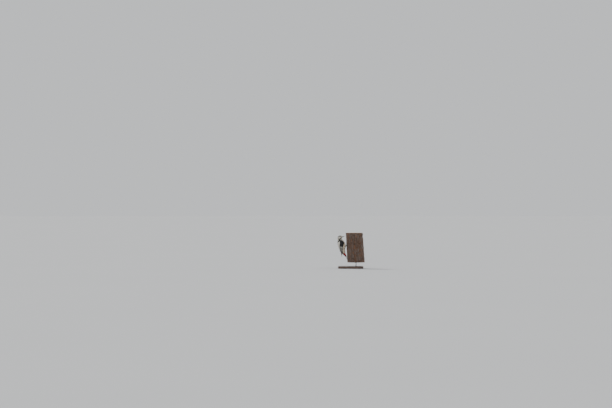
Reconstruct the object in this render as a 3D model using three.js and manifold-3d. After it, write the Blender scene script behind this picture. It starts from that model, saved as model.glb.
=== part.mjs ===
// A life-size great spotted woodpecker, clinging to a short cut length of pine trunk
// that a plain stand holds up. Units are millimetres, +Z is up.
//
// The bird is laid out in its own frame. Its back faces +X and its belly -X, its right
// side is +Y, and z = 0 is the level of its tail tip. x = 0 is the bark at the height
// of the feet. A parent group lifts that frame onto the stand.

import * as THREE from 'three';
import Module from 'manifold-3d';

const wasm = await Module();
wasm.setup();

// ---------------------------------------------------------------- driving sizes

const STAND = { length: 196, width: 146, thickness: 18, corner: 14, chamfer: 2.5 };
const ROD = { radius: 4, height: 30, spread: 52, sides: 20 };
const GAP = 0.3; // clearance between neighbouring solids

const TRUNK = { radius: 67, taper: 0.012, lean: 0.065, below: 18, above: 212, gripZ: 117 };
const BARK = { calm: 0.5, calmFrom: 32, calmTo: 50, columns: 60, rows: 16 };
// Bark plates: how many go round, their height, how far they are drawn out upwards, and
// the width and depth of the furrows between them. The rest is how unevenly they stand.
const PLATE = { around: 24, tall: 46, drawnOut: 0.4, furrow: 5, depth: 2.2, step: 1.5, rise: 0.45 };

const HEAD_TURN = THREE.MathUtils.degToRad(33); // towards the bird's right
const NECK_AXIS_X = 50.5;
const NECK_TWIST = { from: 145, to: 171 };

const EYE = { x: 40.2, z: 182.6, y: 9.5, radius: 3.6 };
const BILL = { length: 24.5, halfWidth: 4.4, upperHeight: 4.9, lowerHeight: 3.9, rise: 0.21 };
const BILL_BASE = { x: 30.4, z: 180.4 };

const FOOT = { y: 18.5, z: 116.5, padRadius: 2.3 };
const HEEL = { x: 10.5, y: 24.5, z: 94.5 };
const KNEE = { x: 25, y: 15.5, z: 107 };

// Body stations from the crown down to the end of the tail coverts. Each row is the
// front point x and z, the back point x and z, the half width, and how far the widest
// place lies towards the back, as a share of the half depth.
const BODY = [
  [45.5, 190.9, 49.0, 190.9, 2.0, 0.0],
  [36.5, 189.0, 57.5, 188.8, 9.6, 0.0],
  [31.6, 185.4, 64.2, 184.2, 13.0, 0.02],
  [30.2, 180.4, 67.9, 178.2, 14.4, 0.05],
  [30.6, 174.4, 69.2, 171.0, 14.9, 0.06],
  [33.0, 168.6, 68.6, 164.0, 15.0, 0.06],
  [31.4, 162.0, 67.8, 156.8, 16.0, 0.08],
  [23.6, 153.0, 68.2, 148.6, 18.6, 0.12],
  [16.6, 143.6, 69.2, 139.6, 22.0, 0.14],
  [10.2, 133.0, 69.0, 129.6, 25.0, 0.15],
  [6.2, 120.6, 66.6, 117.6, 27.0, 0.14],
  [5.8, 107.4, 62.4, 105.0, 27.4, 0.12],
  [8.0, 94.4, 57.0, 92.4, 26.4, 0.08],
  [9.8, 81.6, 51.4, 80.4, 24.0, 0.04],
  [8.8, 69.6, 46.6, 69.0, 20.8, 0.02],
  [7.4, 59.4, 41.6, 59.6, 17.2, 0.0],
  [6.6, 51.0, 35.0, 51.8, 14.0, 0.0],
  [3.6, 43.6, 26.8, 45.0, 11.8, 0.0],
  [0.2, 36.8, 17.6, 38.4, 10.2, 0.0],
  [-2.6, 30.4, 9.2, 31.4, 8.0, 0.0],
  [-3.8, 26.4, 3.6, 26.0, 4.6, 0.0],
];
const CUT = { headNeck: 6.0, neckTorso: 8.4, end: BODY.length - 1 };
const BODY_SEGMENTS = 20;
const BODY_STEPS = { head: 11, neck: 4, torso: 15 };

// Folded wing from the shoulder to the tip of the longest primary. Each row is the
// height, the x of the back line, the x of the widest place, the half width, the y of
// the inner edge, the x of the lower edge, and the thickness.
const WING = [
  [155.0, 65.0, 44.0, 20.6, 19.4, 41.5, 1.6],
  [150.0, 67.4, 43.0, 23.6, 18.8, 31.5, 2.6],
  [140.0, 69.4, 42.0, 26.8, 17.4, 24.4, 3.2],
  [127.0, 68.8, 41.0, 28.6, 14.2, 21.4, 3.4],
  [114.0, 66.3, 39.5, 29.0, 10.6, 21.0, 3.2],
  [100.0, 61.8, 37.0, 28.2, 6.4, 22.2, 3.0],
  [86.0, 56.2, 34.5, 26.3, 2.6, 24.4, 2.8],
  [72.0, 51.2, 33.0, 23.8, 0.8, 27.0, 2.6],
  [60.0, 46.4, 32.0, 21.0, 0.8, 29.4, 2.4],
  [48.0, 42.0, 31.4, 17.6, 1.4, 31.8, 2.0],
  [36.0, 39.9, 31.4, 14.2, 3.2, 33.8, 1.6],
  [27.0, 38.8, 32.0, 11.6, 5.8, 35.4, 1.3],
  [21.0, 38.0, 33.0, 9.6, 7.8, 36.6, 1.0],
];
const WING_GRID = { rows: 21, columns: 5 };
const PRIMARY_STEPS = { from: 62, pitch: 9, depth: 1.5 }; // feather tips along the inner edge

// Tail centre line, from inside the coverts to the tip on the bark: x and z, the half
// width, how far the sides bow towards the trunk, and the thickness.
const TAIL = [
  [24.5, 43.2, 8.5, 3.6, 3.0],
  [14.2, 34.8, 11.0, 3.4, 3.0],
  [6.6, 27.0, 13.6, 3.0, 2.8],
  [0.9, 18.8, 16.0, 2.6, 2.4],
  [-2.9, 10.6, 17.4, 2.4, 2.0],
  [-5.4, 2.6, 17.0, 2.2, 1.4],
];
const RECTRIX_LENGTHS = [1.0, 0.975, 0.93, 0.85, 0.73]; // centre pair first
const RECTRIX_NOTCH = 0.075;
const TAIL_ROWS = 9;

// Toes of the right foot: angle from straight up, outwards positive, toe length, claw
// length and thickness. Two point up, the fourth outwards and the first down.
const TOES = [
  { name: 'inner_front', angle: -19, length: 11, claw: 6.4, radius: 1.35 },
  { name: 'outer_front', angle: 15, length: 14.5, claw: 7.2, radius: 1.5 },
  { name: 'outer', angle: 88, length: 14, claw: 6.8, radius: 1.45 },
  { name: 'hind', angle: 196, length: 7, claw: 5, radius: 1.15 },
];

// ---------------------------------------------------------------- finishes

const finish = (color, roughness, metalness = 0) =>
  new THREE.MeshStandardMaterial({ color, roughness, metalness });
const BLACK_FEATHER = [0x17181b, 0.62];
const WHITE_FEATHER = [0xd9d0bd, 0.8];
const BILL_HORN = [0x3a3c40, 0.35];
const EYE_GLASS = [0x2a0f0c, 0.08];
const LEG_SKIN = [0x5c5f58, 0.6];
const CLAW_HORN = [0x2c2b2a, 0.4];
const PINE_BARK = [0x6b4632, 0.92];
const STAND_WOOD = [0x4a3222, 0.5];
const STAND_STEEL = [0x9a9c9e, 0.3, 1];

// ---------------------------------------------------------------- mesh helpers

const smoothstep = THREE.MathUtils.smoothstep;
const lerp = THREE.MathUtils.lerp;

// Every column of a table at the fractional row t, on a smooth curve through the rows.
function rowAt(rows, t) {
  const last = rows.length - 1;
  const i = Math.min(Math.floor(t), last - 1);
  const f = t - i;
  const [a, b, c, d] = [i - 1, i, i + 1, i + 2].map((k) => rows[THREE.MathUtils.clamp(k, 0, last)]);
  return b.map((value, k) => {
    const slopeIn = (c[k] - a[k]) / 2;
    const slopeOut = (d[k] - b[k]) / 2;
    const bend = 3 * (c[k] - value) - 2 * slopeIn - slopeOut;
    const twist = slopeIn + slopeOut - 2 * (c[k] - value);
    return value + f * (slopeIn + f * (bend + f * twist));
  });
}

// A table's columns at the place where its first column has the given value.
function rowAtHeight(rows, height) {
  let low = 0;
  let high = rows.length - 1;
  for (let step = 0; step < 30; step += 1) {
    const middle = (low + high) / 2;
    if (rowAt(rows, middle)[0] > height) low = middle;
    else high = middle;
  }
  return rowAt(rows, low);
}

function closedGeometry(points, triangles) {
  const geometry = new THREE.BufferGeometry().setFromPoints(points);
  let volume = 0;
  for (const [a, b, c] of triangles) {
    volume += points[a].dot(points[b].clone().cross(points[c]));
  }
  const outward = volume > 0 ? triangles : triangles.map(([a, b, c]) => [a, c, b]);
  geometry.setIndex(outward.flat());
  return geometry;
}

// Skins a row of rings, each with the same number of points, and closes both ends.
function loft(rings) {
  const around = rings[0].length;
  const points = rings.flat();
  const triangles = [];
  for (let r = 0; r + 1 < rings.length; r += 1) {
    for (let k = 0; k < around; k += 1) {
      const next = (k + 1) % around;
      const [a, b] = [r * around + k, r * around + next];
      triangles.push([a, b, b + around], [a, b + around, a + around]);
    }
  }
  for (const [start, flip] of [[0, true], [(rings.length - 1) * around, false]]) {
    const middle = new THREE.Vector3();
    for (let k = 0; k < around; k += 1) middle.add(points[start + k]);
    const centre = points.push(middle.divideScalar(around)) - 1;
    for (let k = 0; k < around; k += 1) {
      const pair = [start + k, start + ((k + 1) % around)];
      triangles.push(flip ? [centre, pair[1], pair[0]] : [centre, ...pair]);
    }
  }
  return closedGeometry(points, triangles);
}

// A plate between two grids of points: surface(u, v, side) with side 0 outside, 1 inside.
function plate(rows, columns, surface) {
  const rings = [];
  for (let r = 0; r <= rows; r += 1) {
    const ring = [];
    for (let k = 0; k <= columns; k += 1) ring.push(surface(r / rows, k / columns, 0));
    for (let k = columns; k >= 0; k -= 1) ring.push(surface(r / rows, k / columns, 1));
    rings.push(ring);
  }
  return bridgedPlate(rings, columns);
}

// Skins the rings of a plate, whose ends are closed by joining its two faces.
function bridgedPlate(rings, columns) {
  const around = rings[0].length;
  const points = rings.flat();
  const triangles = [];
  for (let r = 0; r + 1 < rings.length; r += 1) {
    for (let k = 0; k < around; k += 1) {
      const next = (k + 1) % around;
      const [a, b] = [r * around + k, r * around + next];
      triangles.push([a, b, b + around], [a, b + around, a + around]);
    }
  }
  const last = (rings.length - 1) * around;
  for (let k = 0; k < columns; k += 1) {
    const [a, b, c, d] = [k, k + 1, around - 2 - k, around - 1 - k];
    triangles.push([a, c, b], [a, d, c]);
    triangles.push([last + a, last + b, last + c], [last + a, last + c, last + d]);
  }
  return closedGeometry(points, triangles);
}

const circle = (sides) => Array.from({ length: sides }, (_, k) => (2 * Math.PI * k) / sides);

// A round limb along points, with a radius and a flattening at each.
function limb(path, radii, sides, across = new THREE.Vector3(0, 1, 0)) {
  const rings = path.map((point, i) => {
    const ahead = path[Math.min(i + 1, path.length - 1)];
    const behind = path[Math.max(i - 1, 0)];
    const along = ahead.clone().sub(behind).normalize();
    const side = across.clone().cross(along).normalize();
    const other = along.clone().cross(side);
    return circle(sides).map((angle) =>
      point
        .clone()
        .addScaledVector(side, radii[i] * Math.cos(angle))
        .addScaledVector(other, radii[i] * Math.sin(angle)),
    );
  });
  return loft(rings);
}

function ellipsoid(centre, radii, widthSegments, heightSegments) {
  const rings = [];
  for (let r = 1; r < heightSegments; r += 1) {
    const polar = (Math.PI * r) / heightSegments;
    rings.push(
      circle(widthSegments).map((angle) =>
        new THREE.Vector3(
          radii.x * Math.sin(polar) * Math.cos(angle),
          radii.y * Math.cos(polar),
          radii.z * Math.sin(polar) * Math.sin(angle),
        ).add(centre),
      ),
    );
  }
  return loft(rings);
}

// ---------------------------------------------------------------- joining and cutting

function toSolid(geometry) {
  const vertProperties = Float32Array.from(geometry.getAttribute('position').array);
  const triVerts = Uint32Array.from(geometry.getIndex().array);
  return new wasm.Manifold(new wasm.Mesh({ numProp: 3, vertProperties, triVerts }));
}

function toGeometry(solid) {
  const mesh = solid.getMesh();
  const geometry = new THREE.BufferGeometry();
  geometry.setAttribute('position', new THREE.BufferAttribute(mesh.vertProperties, 3));
  geometry.setIndex(new THREE.BufferAttribute(mesh.triVerts, 1));
  return geometry;
}

// Takes the cutters away from a solid and keeps its largest piece.
function cut(geometry, cutters) {
  const left = cutters.reduce((solid, cutter) => solid.subtract(toSolid(cutter)), toSolid(geometry));
  const pieces = left.decompose();
  pieces.sort((a, b) => b.volume() - a.volume());
  return toGeometry(pieces[0]);
}

const join = (geometries) =>
  toGeometry(geometries.map(toSolid).reduce((whole, solid) => whole.add(solid)));

// ---------------------------------------------------------------- trunk

const trunkAxisX = (z) => -TRUNK.radius + TRUNK.lean * (z - TRUNK.gripZ);

// A number from 0 to 1 that is always the same for one plate and one use.
function chance(row, column, use) {
  const value = Math.sin(row * 12.9898 + column * 78.233 + use * 37.719) * 43758.5453;
  return value - Math.floor(value);
}

// How far long plates of bark stand out, each at its own height, with furrows between.
function plateRelief(angle, z) {
  const swayAround = 3.4 * Math.sin(2 * angle + z / 17) + 2.1 * Math.sin(5 * angle - z / 9.5 + 1.3);
  const swayUp = 6 * Math.sin(3 * angle - z / 23 + 0.7) + 3.5 * Math.sin(7 * angle + z / 13);
  const wide = (2 * Math.PI * TRUNK.radius) / PLATE.around;
  const u = (angle * TRUNK.radius + swayAround) / wide;
  const v = (z + swayUp) / PLATE.tall;
  const plates = [];
  for (const column of [-1, 0, 1].map((k) => Math.floor(u) + k)) {
    for (const row of [-1, 0, 1].map((k) => Math.floor(v) + k)) {
      const round = THREE.MathUtils.euclideanModulo(column, PLATE.around);
      const offU = (u - column - 0.1 - 0.8 * chance(row, round, 1)) * wide;
      const offV = (v - row - 0.1 - 0.8 * chance(row, round, 2)) * PLATE.tall * PLATE.drawnOut;
      plates.push({ distance: Math.hypot(offU, offV), height: chance(row, round, 3) });
    }
  }
  plates.sort((a, b) => a.distance - b.distance);
  const edge = plates[1].distance - plates[0].distance;
  const sunk = PLATE.depth * (smoothstep(edge, 0, PLATE.furrow) - 1);
  return sunk + PLATE.step * plates[0].height - PLATE.rise;
}

// The bark has plates and furrows, but is almost even where the bird holds on.
function barkRadius(angle, z) {
  const waves = Math.sin(6 * angle + 1.4 * Math.sin(z / 26)) * Math.cos(z / 17 + 2 * Math.sin(3 * angle));
  const sideways = Math.abs(TRUNK.radius * Math.sin(angle));
  const inFront = Math.cos(angle) > 0 ? 1 - smoothstep(sideways, BARK.calmFrom, BARK.calmTo) : 0;
  const relief = lerp(plateRelief(angle, z), BARK.calm * waves, inFront);
  return TRUNK.radius - TRUNK.taper * (z - TRUNK.gripZ) + relief - BARK.calm;
}

function trunkGeometry() {
  const rings = [];
  for (let r = 0; r <= BARK.rows; r += 1) {
    const z = lerp(-TRUNK.below, TRUNK.above, r / BARK.rows);
    rings.push(
      circle(BARK.columns).map((angle) => {
        const radius = barkRadius(angle, z);
        return new THREE.Vector3(
          trunkAxisX(z) + radius * Math.cos(angle),
          radius * Math.sin(angle),
          z,
        );
      }),
    );
  }
  return loft(rings);
}

// The x of the bark in front of the bird, at a sideways place y and a height z.
function barkX(y, z) {
  let angle = Math.asin(y / TRUNK.radius);
  for (let step = 0; step < 4; step += 1) angle = Math.asin(y / barkRadius(angle, z));
  return trunkAxisX(z) + barkRadius(angle, z) * Math.cos(angle);
}

// ---------------------------------------------------------------- body

// Turns what lies above the shoulders with the head, less and less down the neck.
function turned(point) {
  const share = smoothstep(point.z, NECK_TWIST.from, NECK_TWIST.to);
  const offset = new THREE.Vector3(NECK_AXIS_X, 0, 0);
  const up = new THREE.Vector3(0, 0, 1);
  return point.clone().sub(offset).applyAxisAngle(up, -share * HEAD_TURN).add(offset);
}

function bodyPoint(t, angle) {
  const [frontX, frontZ, backX, backZ, halfWidth, egg] = rowAt(BODY, t);
  const across = Math.sin(angle);
  const along = Math.cos(angle) + egg * across * across;
  return turned(
    new THREE.Vector3(
      (frontX + backX) / 2 + (along * (backX - frontX)) / 2,
      halfWidth * across,
      (frontZ + backZ) / 2 + (along * (backZ - frontZ)) / 2,
    ),
  );
}

function bodyLength(from, to, steps) {
  const rings = [];
  for (let r = 0; r <= steps; r += 1) {
    const t = lerp(from, to, r / steps);
    rings.push(circle(BODY_SEGMENTS).map((angle) => bodyPoint(t, angle)));
  }
  return loft(rings);
}

// ---------------------------------------------------------------- wings

function wingGeometry(side, grow = 0) {
  const top = WING[0][0] + grow;
  const tip = WING[WING.length - 1][0] - grow;
  return plate(WING_GRID.rows, WING_GRID.columns, (u, v, face) => {
    const z = lerp(top, tip, u);
    const [, backX, middleX, halfWidth, innerY, frontX, thickness] = rowAtHeight(WING, z);
    const inset = face === 0 ? -grow : thickness + grow;
    const depth = backX - middleX;
    const stepped = z < PRIMARY_STEPS.from ? ((PRIMARY_STEPS.from - z) / PRIMARY_STEPS.pitch) % 1 : 0;
    const innerEdge = innerY + PRIMARY_STEPS.depth * stepped - grow;
    const inner = Math.asin(THREE.MathUtils.clamp(innerEdge / halfWidth, -1, 1));
    const outer = Math.acos(THREE.MathUtils.clamp((frontX - grow - middleX) / depth, -1, 1));
    const angle = lerp(inner, Math.max(outer, inner + 0.05), v);
    return turned(
      new THREE.Vector3(
        middleX + (depth - inset) * Math.cos(angle),
        side * (halfWidth - inset) * Math.sin(angle),
        z,
      ),
    );
  });
}

// ---------------------------------------------------------------- tail

function tailGeometry(grow = 0) {
  const pairs = RECTRIX_LENGTHS.length;
  const columns = 4 * pairs;
  const lengthAt = (across) => {
    const place = Math.abs(across) * pairs;
    const nearest = Math.min(Math.floor(place), pairs - 1);
    const offCentre = Math.abs(place - nearest - 0.5) * 2;
    return RECTRIX_LENGTHS[nearest] - RECTRIX_NOTCH * offCentre;
  };
  return plate(TAIL_ROWS, columns, (u, v, face) => {
    const across = 2 * v - 1;
    const t = u * (lengthAt(across) * (TAIL.length - 1) + grow * 0.1);
    const [x, z, halfWidth, bow, thickness] = rowAt(TAIL, t);
    const [nextX, nextZ] = rowAt(TAIL, t + 0.01);
    const along = new THREE.Vector3(nextX - x, 0, nextZ - z).normalize();
    const outward = new THREE.Vector3(-along.z, 0, along.x);
    const half = (thickness * (1 - 0.45 * across * across)) / 2 + grow;
    return new THREE.Vector3(x, across * (halfWidth + grow), z).addScaledVector(
      outward,
      (face === 0 ? half : -half) - bow * across * across,
    );
  });
}

// ---------------------------------------------------------------- head

function eyeGeometry(side, grow = 0) {
  const radius = EYE.radius + grow;
  const ball = ellipsoid(
    new THREE.Vector3(EYE.x, side * EYE.y, EYE.z),
    new THREE.Vector3(radius, radius, radius),
    12,
    6,
  );
  return withPoints(ball, turned);
}

function withPoints(geometry, move) {
  const position = geometry.getAttribute('position');
  const point = new THREE.Vector3();
  for (let i = 0; i < position.count; i += 1) {
    const moved = move(point.fromBufferAttribute(position, i));
    position.setXYZ(i, moved.x, moved.y, moved.z);
  }
  return geometry;
}

// Half of a straight chisel bill: half is +1 for the upper, -1 for the lower mandible.
function billGeometry(half, grow = 0) {
  const height = half > 0 ? BILL.upperHeight : BILL.lowerHeight;
  const length = half > 0 ? BILL.length : BILL.length - 1.2;
  const root = 3.5; // how far the horn reaches back into the face
  const steps = 6;
  const arc = 8;
  const rings = [];
  for (let r = 0; r <= steps; r += 1) {
    const out = lerp(-root, length, r / steps);
    const beyond = r === 0 ? -grow : grow * (r === steps);
    const taper = 1 - Math.max(out, 0) / (length + 1.5);
    const width = BILL.halfWidth * (0.16 + 0.84 * taper ** 0.9) + grow;
    const rise = height * (0.12 + 0.88 * taper ** 0.85) + grow;
    const ring = [];
    for (let k = 0; k <= arc; k += 1) {
      const angle = (Math.PI * k) / arc;
      const across = Math.cos(angle);
      const up = Math.sin(angle) ** 0.8;
      ring.push(billPoint(out + beyond, width * across, half * (GAP / 2 - grow + up * (rise + grow))));
    }
    rings.push(ring);
  }
  return loft(rings);
}

function billPoint(out, y, up) {
  const cos = Math.cos(BILL.rise);
  const sin = Math.sin(BILL.rise);
  return turned(
    new THREE.Vector3(BILL_BASE.x - out * cos + up * sin, y, BILL_BASE.z + out * sin + up * cos),
  );
}

// ---------------------------------------------------------------- legs and feet

function thighGeometry(side, grow = 0) {
  const knee = new THREE.Vector3(KNEE.x, side * KNEE.y, KNEE.z);
  const heel = new THREE.Vector3(HEEL.x + 0.8, side * (HEEL.y - 0.8), HEEL.z + 1);
  const radii = [4.6, 7.6, 8.2, 7.0, 5.0, 3.2];
  const path = radii.map((_, i) => knee.clone().lerp(heel, i / (radii.length - 1)));
  return limb(path, radii.map((radius) => radius + grow), 12);
}

const footCentre = (side) =>
  new THREE.Vector3(barkX(side * FOOT.y, FOOT.z) + FOOT.padRadius + GAP, side * FOOT.y, FOOT.z);

function footPad(side, grow = 0) {
  const radius = FOOT.padRadius + grow;
  return ellipsoid(footCentre(side), new THREE.Vector3(radius, radius, radius * 1.1), 8, 6);
}

function tarsusShaft(side, grow = 0) {
  const heel = new THREE.Vector3(HEEL.x, side * HEEL.y, HEEL.z);
  const foot = footCentre(side);
  const radii = [1.5, 2.1, 1.7, 1.5, 1.45, 1.5, 1.7];
  const path = radii.map((_, i) => heel.clone().lerp(foot, i / (radii.length - 1)));
  return limb(path, radii.map((radius) => radius + grow), 8);
}

// Where a toe lies at a distance out along its line, at a height over the bark.
function onBark(side, toe, out, over) {
  const angle = THREE.MathUtils.degToRad(toe.angle);
  const y = side * (FOOT.y + out * Math.sin(angle));
  const z = FOOT.z + out * Math.cos(angle);
  return new THREE.Vector3(barkX(y, z) + over, y, z);
}

function toeGeometry(side, toe, grow = 0) {
  const steps = 5;
  const path = [];
  const radii = [];
  for (let i = 0; i <= steps; i += 1) {
    const u = i / steps;
    const knuckle = 1 + 0.12 * Math.cos(2 * Math.PI * 2.5 * u);
    const radius = toe.radius * (1 - 0.22 * u) * knuckle;
    path.push(onBark(side, toe, 1 + u * (toe.length - 1), toe.radius * 1.12 + GAP));
    radii.push(radius + grow);
  }
  return limb(path, radii, 6, new THREE.Vector3(1, 0, 0));
}

// A hooked claw that rises a little from the toe and comes down to the bark.
function clawGeometry(side, toe) {
  const steps = 4;
  const path = [];
  const radii = [];
  for (let i = 0; i <= steps; i += 1) {
    const u = i / steps;
    const over = toe.radius * 1.12 + GAP + 1.3 * Math.sin(Math.PI * 0.8 * u) - (toe.radius + 0.3) * u * u;
    path.push(onBark(side, toe, toe.length + GAP + u * toe.claw * 0.85, over));
    radii.push(lerp(toe.radius * 0.68, 0.28, u));
  }
  return limb(path, radii, 6, new THREE.Vector3(1, 0, 0));
}

// ---------------------------------------------------------------- stand

// A rectangle with rounded corners, as a ring of points at the height z.
function roundedRing(halfX, halfY, corner, z) {
  const steps = 6;
  const ring = [];
  [[1, 1], [-1, 1], [-1, -1], [1, -1]].forEach(([signX, signY], quarter) => {
    for (let k = 0; k <= steps; k += 1) {
      const angle = (Math.PI / 2) * (quarter + k / steps);
      const x = signX * (halfX - corner) + corner * Math.cos(angle);
      const y = signY * (halfY - corner) + corner * Math.sin(angle);
      ring.push(new THREE.Vector3(x, y, z));
    }
  });
  return ring;
}

function baseGeometry() {
  const { length, width, thickness, corner, chamfer } = STAND;
  const outer = [length / 2, width / 2, corner];
  const inner = outer.map((size) => size - chamfer);
  return loft([
    roundedRing(...outer, 0),
    roundedRing(...outer, thickness - chamfer),
    roundedRing(...inner, thickness),
  ]);
}

function rodGeometry() {
  const rod = new THREE.CylinderGeometry(ROD.radius, ROD.radius, ROD.height - 2 * GAP, ROD.sides);
  rod.rotateX(Math.PI / 2);
  return rod;
}

// ---------------------------------------------------------------- the object

const woodpecker = new THREE.Group();

function place(parent, name, geometry, look) {
  const mesh = new THREE.Mesh(geometry, finish(...look));
  mesh.name = name;
  parent.add(mesh);
  return mesh;
}

const SIDES = [['right', 1], ['left', -1]];
const bird = new THREE.Group();
bird.position.set(TRUNK.radius / 2, 0, STAND.thickness + ROD.height + TRUNK.below);
woodpecker.add(bird);

const wingRoom = SIDES.map(([, side]) => wingGeometry(side, GAP));
const thighRoom = SIDES.map(([, side]) => thighGeometry(side, GAP));
const eyeRoom = SIDES.map(([, side]) => eyeGeometry(side, GAP));
const billRoom = [1, -1].map((half) => billGeometry(half, GAP));

const cutShare = 0.03; // the share of a station left open at each cut
const headSolid = bodyLength(0, CUT.headNeck - cutShare, BODY_STEPS.head);
const neckSolid = bodyLength(CUT.headNeck + cutShare, CUT.neckTorso - cutShare, BODY_STEPS.neck);
const torsoSolid = bodyLength(CUT.neckTorso + cutShare, CUT.end, BODY_STEPS.torso);
place(bird, 'head', cut(headSolid, [...eyeRoom, ...billRoom]), BLACK_FEATHER);
place(bird, 'neck', cut(neckSolid, wingRoom), BLACK_FEATHER);
place(bird, 'torso', cut(torsoSolid, [...wingRoom, ...thighRoom, tailGeometry(GAP)]), WHITE_FEATHER);
place(bird, 'tail', tailGeometry(), BLACK_FEATHER);
place(bird, 'bill_upper', billGeometry(1), BILL_HORN);
place(bird, 'bill_lower', billGeometry(-1), BILL_HORN);

for (const [label, side] of SIDES) {
  place(bird, `eye_${label}`, eyeGeometry(side), EYE_GLASS);
  place(bird, `wing_${label}`, wingGeometry(side), BLACK_FEATHER);
  place(bird, `thigh_${label}`, cut(thighGeometry(side), wingRoom), WHITE_FEATHER);
  const shank = join([tarsusShaft(side), footPad(side)]);
  place(bird, `tarsus_${label}`, cut(shank, [thighGeometry(side, GAP)]), LEG_SKIN);
  const shankRoom = [tarsusShaft(side, GAP), footPad(side, GAP)];
  TOES.forEach((toe, i) => {
    const earlier = TOES.slice(0, i).map((other) => toeGeometry(side, other, GAP));
    const toeSolid = cut(toeGeometry(side, toe), [...shankRoom, ...earlier]);
    place(bird, `toe_${toe.name}_${label}`, toeSolid, LEG_SKIN);
    place(bird, `claw_${toe.name}_${label}`, clawGeometry(side, toe), CLAW_HORN);
  });
}

place(bird, 'trunk_length', trunkGeometry(), PINE_BARK);

const rodX = TRUNK.radius / 2 + trunkAxisX(-TRUNK.below);
[1, -1].forEach((side, i) => {
  const rod = place(woodpecker, `stand_rod_${i + 1}`, rodGeometry(), STAND_STEEL);
  rod.position.set(rodX, (side * ROD.spread) / 2, STAND.thickness + ROD.height / 2);
});
place(woodpecker, 'stand_base', baseGeometry(), STAND_WOOD);

export default woodpecker;
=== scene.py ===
"""A life-size great spotted woodpecker, clinging to a cut length of pine on a display stand."""

import math

import bpy
import numpy as np
from mathutils import Matrix, Vector
from mathutils.bvhtree import BVHTree


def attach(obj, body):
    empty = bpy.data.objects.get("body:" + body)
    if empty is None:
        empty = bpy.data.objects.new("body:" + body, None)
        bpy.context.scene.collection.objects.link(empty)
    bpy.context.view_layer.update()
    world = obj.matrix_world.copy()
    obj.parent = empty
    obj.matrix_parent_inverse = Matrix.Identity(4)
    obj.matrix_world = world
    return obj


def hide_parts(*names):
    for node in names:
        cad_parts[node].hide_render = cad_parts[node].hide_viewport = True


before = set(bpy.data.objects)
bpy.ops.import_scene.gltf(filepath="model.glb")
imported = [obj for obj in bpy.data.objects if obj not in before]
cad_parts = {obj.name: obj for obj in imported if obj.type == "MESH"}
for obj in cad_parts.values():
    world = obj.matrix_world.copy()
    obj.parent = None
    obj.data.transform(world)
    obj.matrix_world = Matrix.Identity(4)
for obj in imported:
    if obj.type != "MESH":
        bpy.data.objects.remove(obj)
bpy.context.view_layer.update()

# Shapes are worked out in the bird's own frame, in millimetres: +X is the way its back
# faces, +Y its right side, z = 0 the level of its tail tip, and x = 0 the bark at its feet.

MM = 0.001
SIDES = (("right", 1), ("left", -1))

TRUNK_RADIUS = 67.0
TRUNK_TAPER = 0.012
TRUNK_LEAN = 0.065
TRUNK_BELOW = 18.0
TRUNK_ABOVE = 212.0
GRIP_Z = 117.0
BARK_CALM = 0.5
BARK_CALM_FROM = 32.0
BARK_CALM_TO = 50.0
PLATES_AROUND = 24
PLATE_TALL = 46.0
PLATE_DRAWN_OUT = 0.4
FURROW_WIDTH = 5.0
FURROW_DEPTH = 2.2
PLATE_STEP = 1.5
PLATE_RISE = 0.45
FLAKES_AROUND = 58
FLAKE_TALL = 19.0
LAYER = 0.62

STAND_LENGTH = 196.0
STAND_WIDTH = 146.0
STAND_THICKNESS = 18.0
STAND_CORNER = 14.0
STAND_CHAMFER = 2.5
ROD_RADIUS = 4.0
ROD_HEIGHT = 30.0
ROD_SPREAD = 52.0

BIRD_ORIGIN = np.array([TRUNK_RADIUS / 2, 0.0, STAND_THICKNESS + ROD_HEIGHT + TRUNK_BELOW])

HEAD_TURN = math.radians(33)
NECK_AXIS_X = 50.5
NECK_TWIST = (145.0, 171.0)

EYE = np.array([40.2, 9.5, 182.6])
EYE_RADIUS = 3.5
EYE_OPENING = np.array([-0.65, 2.5, 0.15])
BILL_BASE = np.array([30.4, 0.0, 180.4])
BILL_LENGTH = 24.5
BILL_HALF_WIDTH = 4.4
BILL_UPPER = 4.9
BILL_LOWER = 3.9
BILL_RISE = 0.21

FOOT_Y = 18.5
FOOT_Z = 116.5
FOOT_PAD = 2.3
HEEL = np.array([10.5, 24.5, 94.5])
HIP = np.array([32.0, 12.5, 112.0])

# Body stations from crown to tail coverts: front x and z, back x and z, half width, and
# how far the widest place lies towards the back.
BODY = np.array([
    [45.5, 190.9, 49.0, 190.9, 2.0, 0.0],
    [36.5, 189.0, 57.5, 188.8, 9.6, 0.0],
    [31.6, 185.4, 64.2, 184.2, 13.0, 0.02],
    [30.2, 180.4, 67.9, 178.2, 14.4, 0.05],
    [30.6, 174.4, 69.2, 171.0, 14.9, 0.06],
    [33.0, 168.6, 68.6, 164.0, 15.0, 0.06],
    [31.4, 162.0, 67.8, 156.8, 16.0, 0.08],
    [23.6, 153.0, 68.2, 148.6, 18.6, 0.12],
    [16.6, 143.6, 69.2, 139.6, 22.0, 0.14],
    [10.2, 133.0, 69.0, 129.6, 25.0, 0.15],
    [6.2, 120.6, 66.6, 117.6, 27.0, 0.14],
    [5.8, 107.4, 62.4, 105.0, 27.4, 0.12],
    [8.0, 94.4, 57.0, 92.4, 26.4, 0.08],
    [9.8, 81.6, 51.4, 80.4, 24.0, 0.04],
    [8.8, 69.6, 46.6, 69.0, 20.8, 0.02],
    [7.4, 59.4, 41.6, 59.6, 17.2, 0.0],
    [6.6, 51.0, 35.0, 51.8, 14.0, 0.0],
    [3.6, 43.6, 26.8, 45.0, 11.8, 0.0],
    [0.2, 36.8, 17.6, 38.4, 10.2, 0.0],
    [-2.6, 30.4, 9.2, 31.4, 8.0, 0.0],
    [-3.8, 26.4, 3.6, 26.0, 4.6, 0.0],
])

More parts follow.
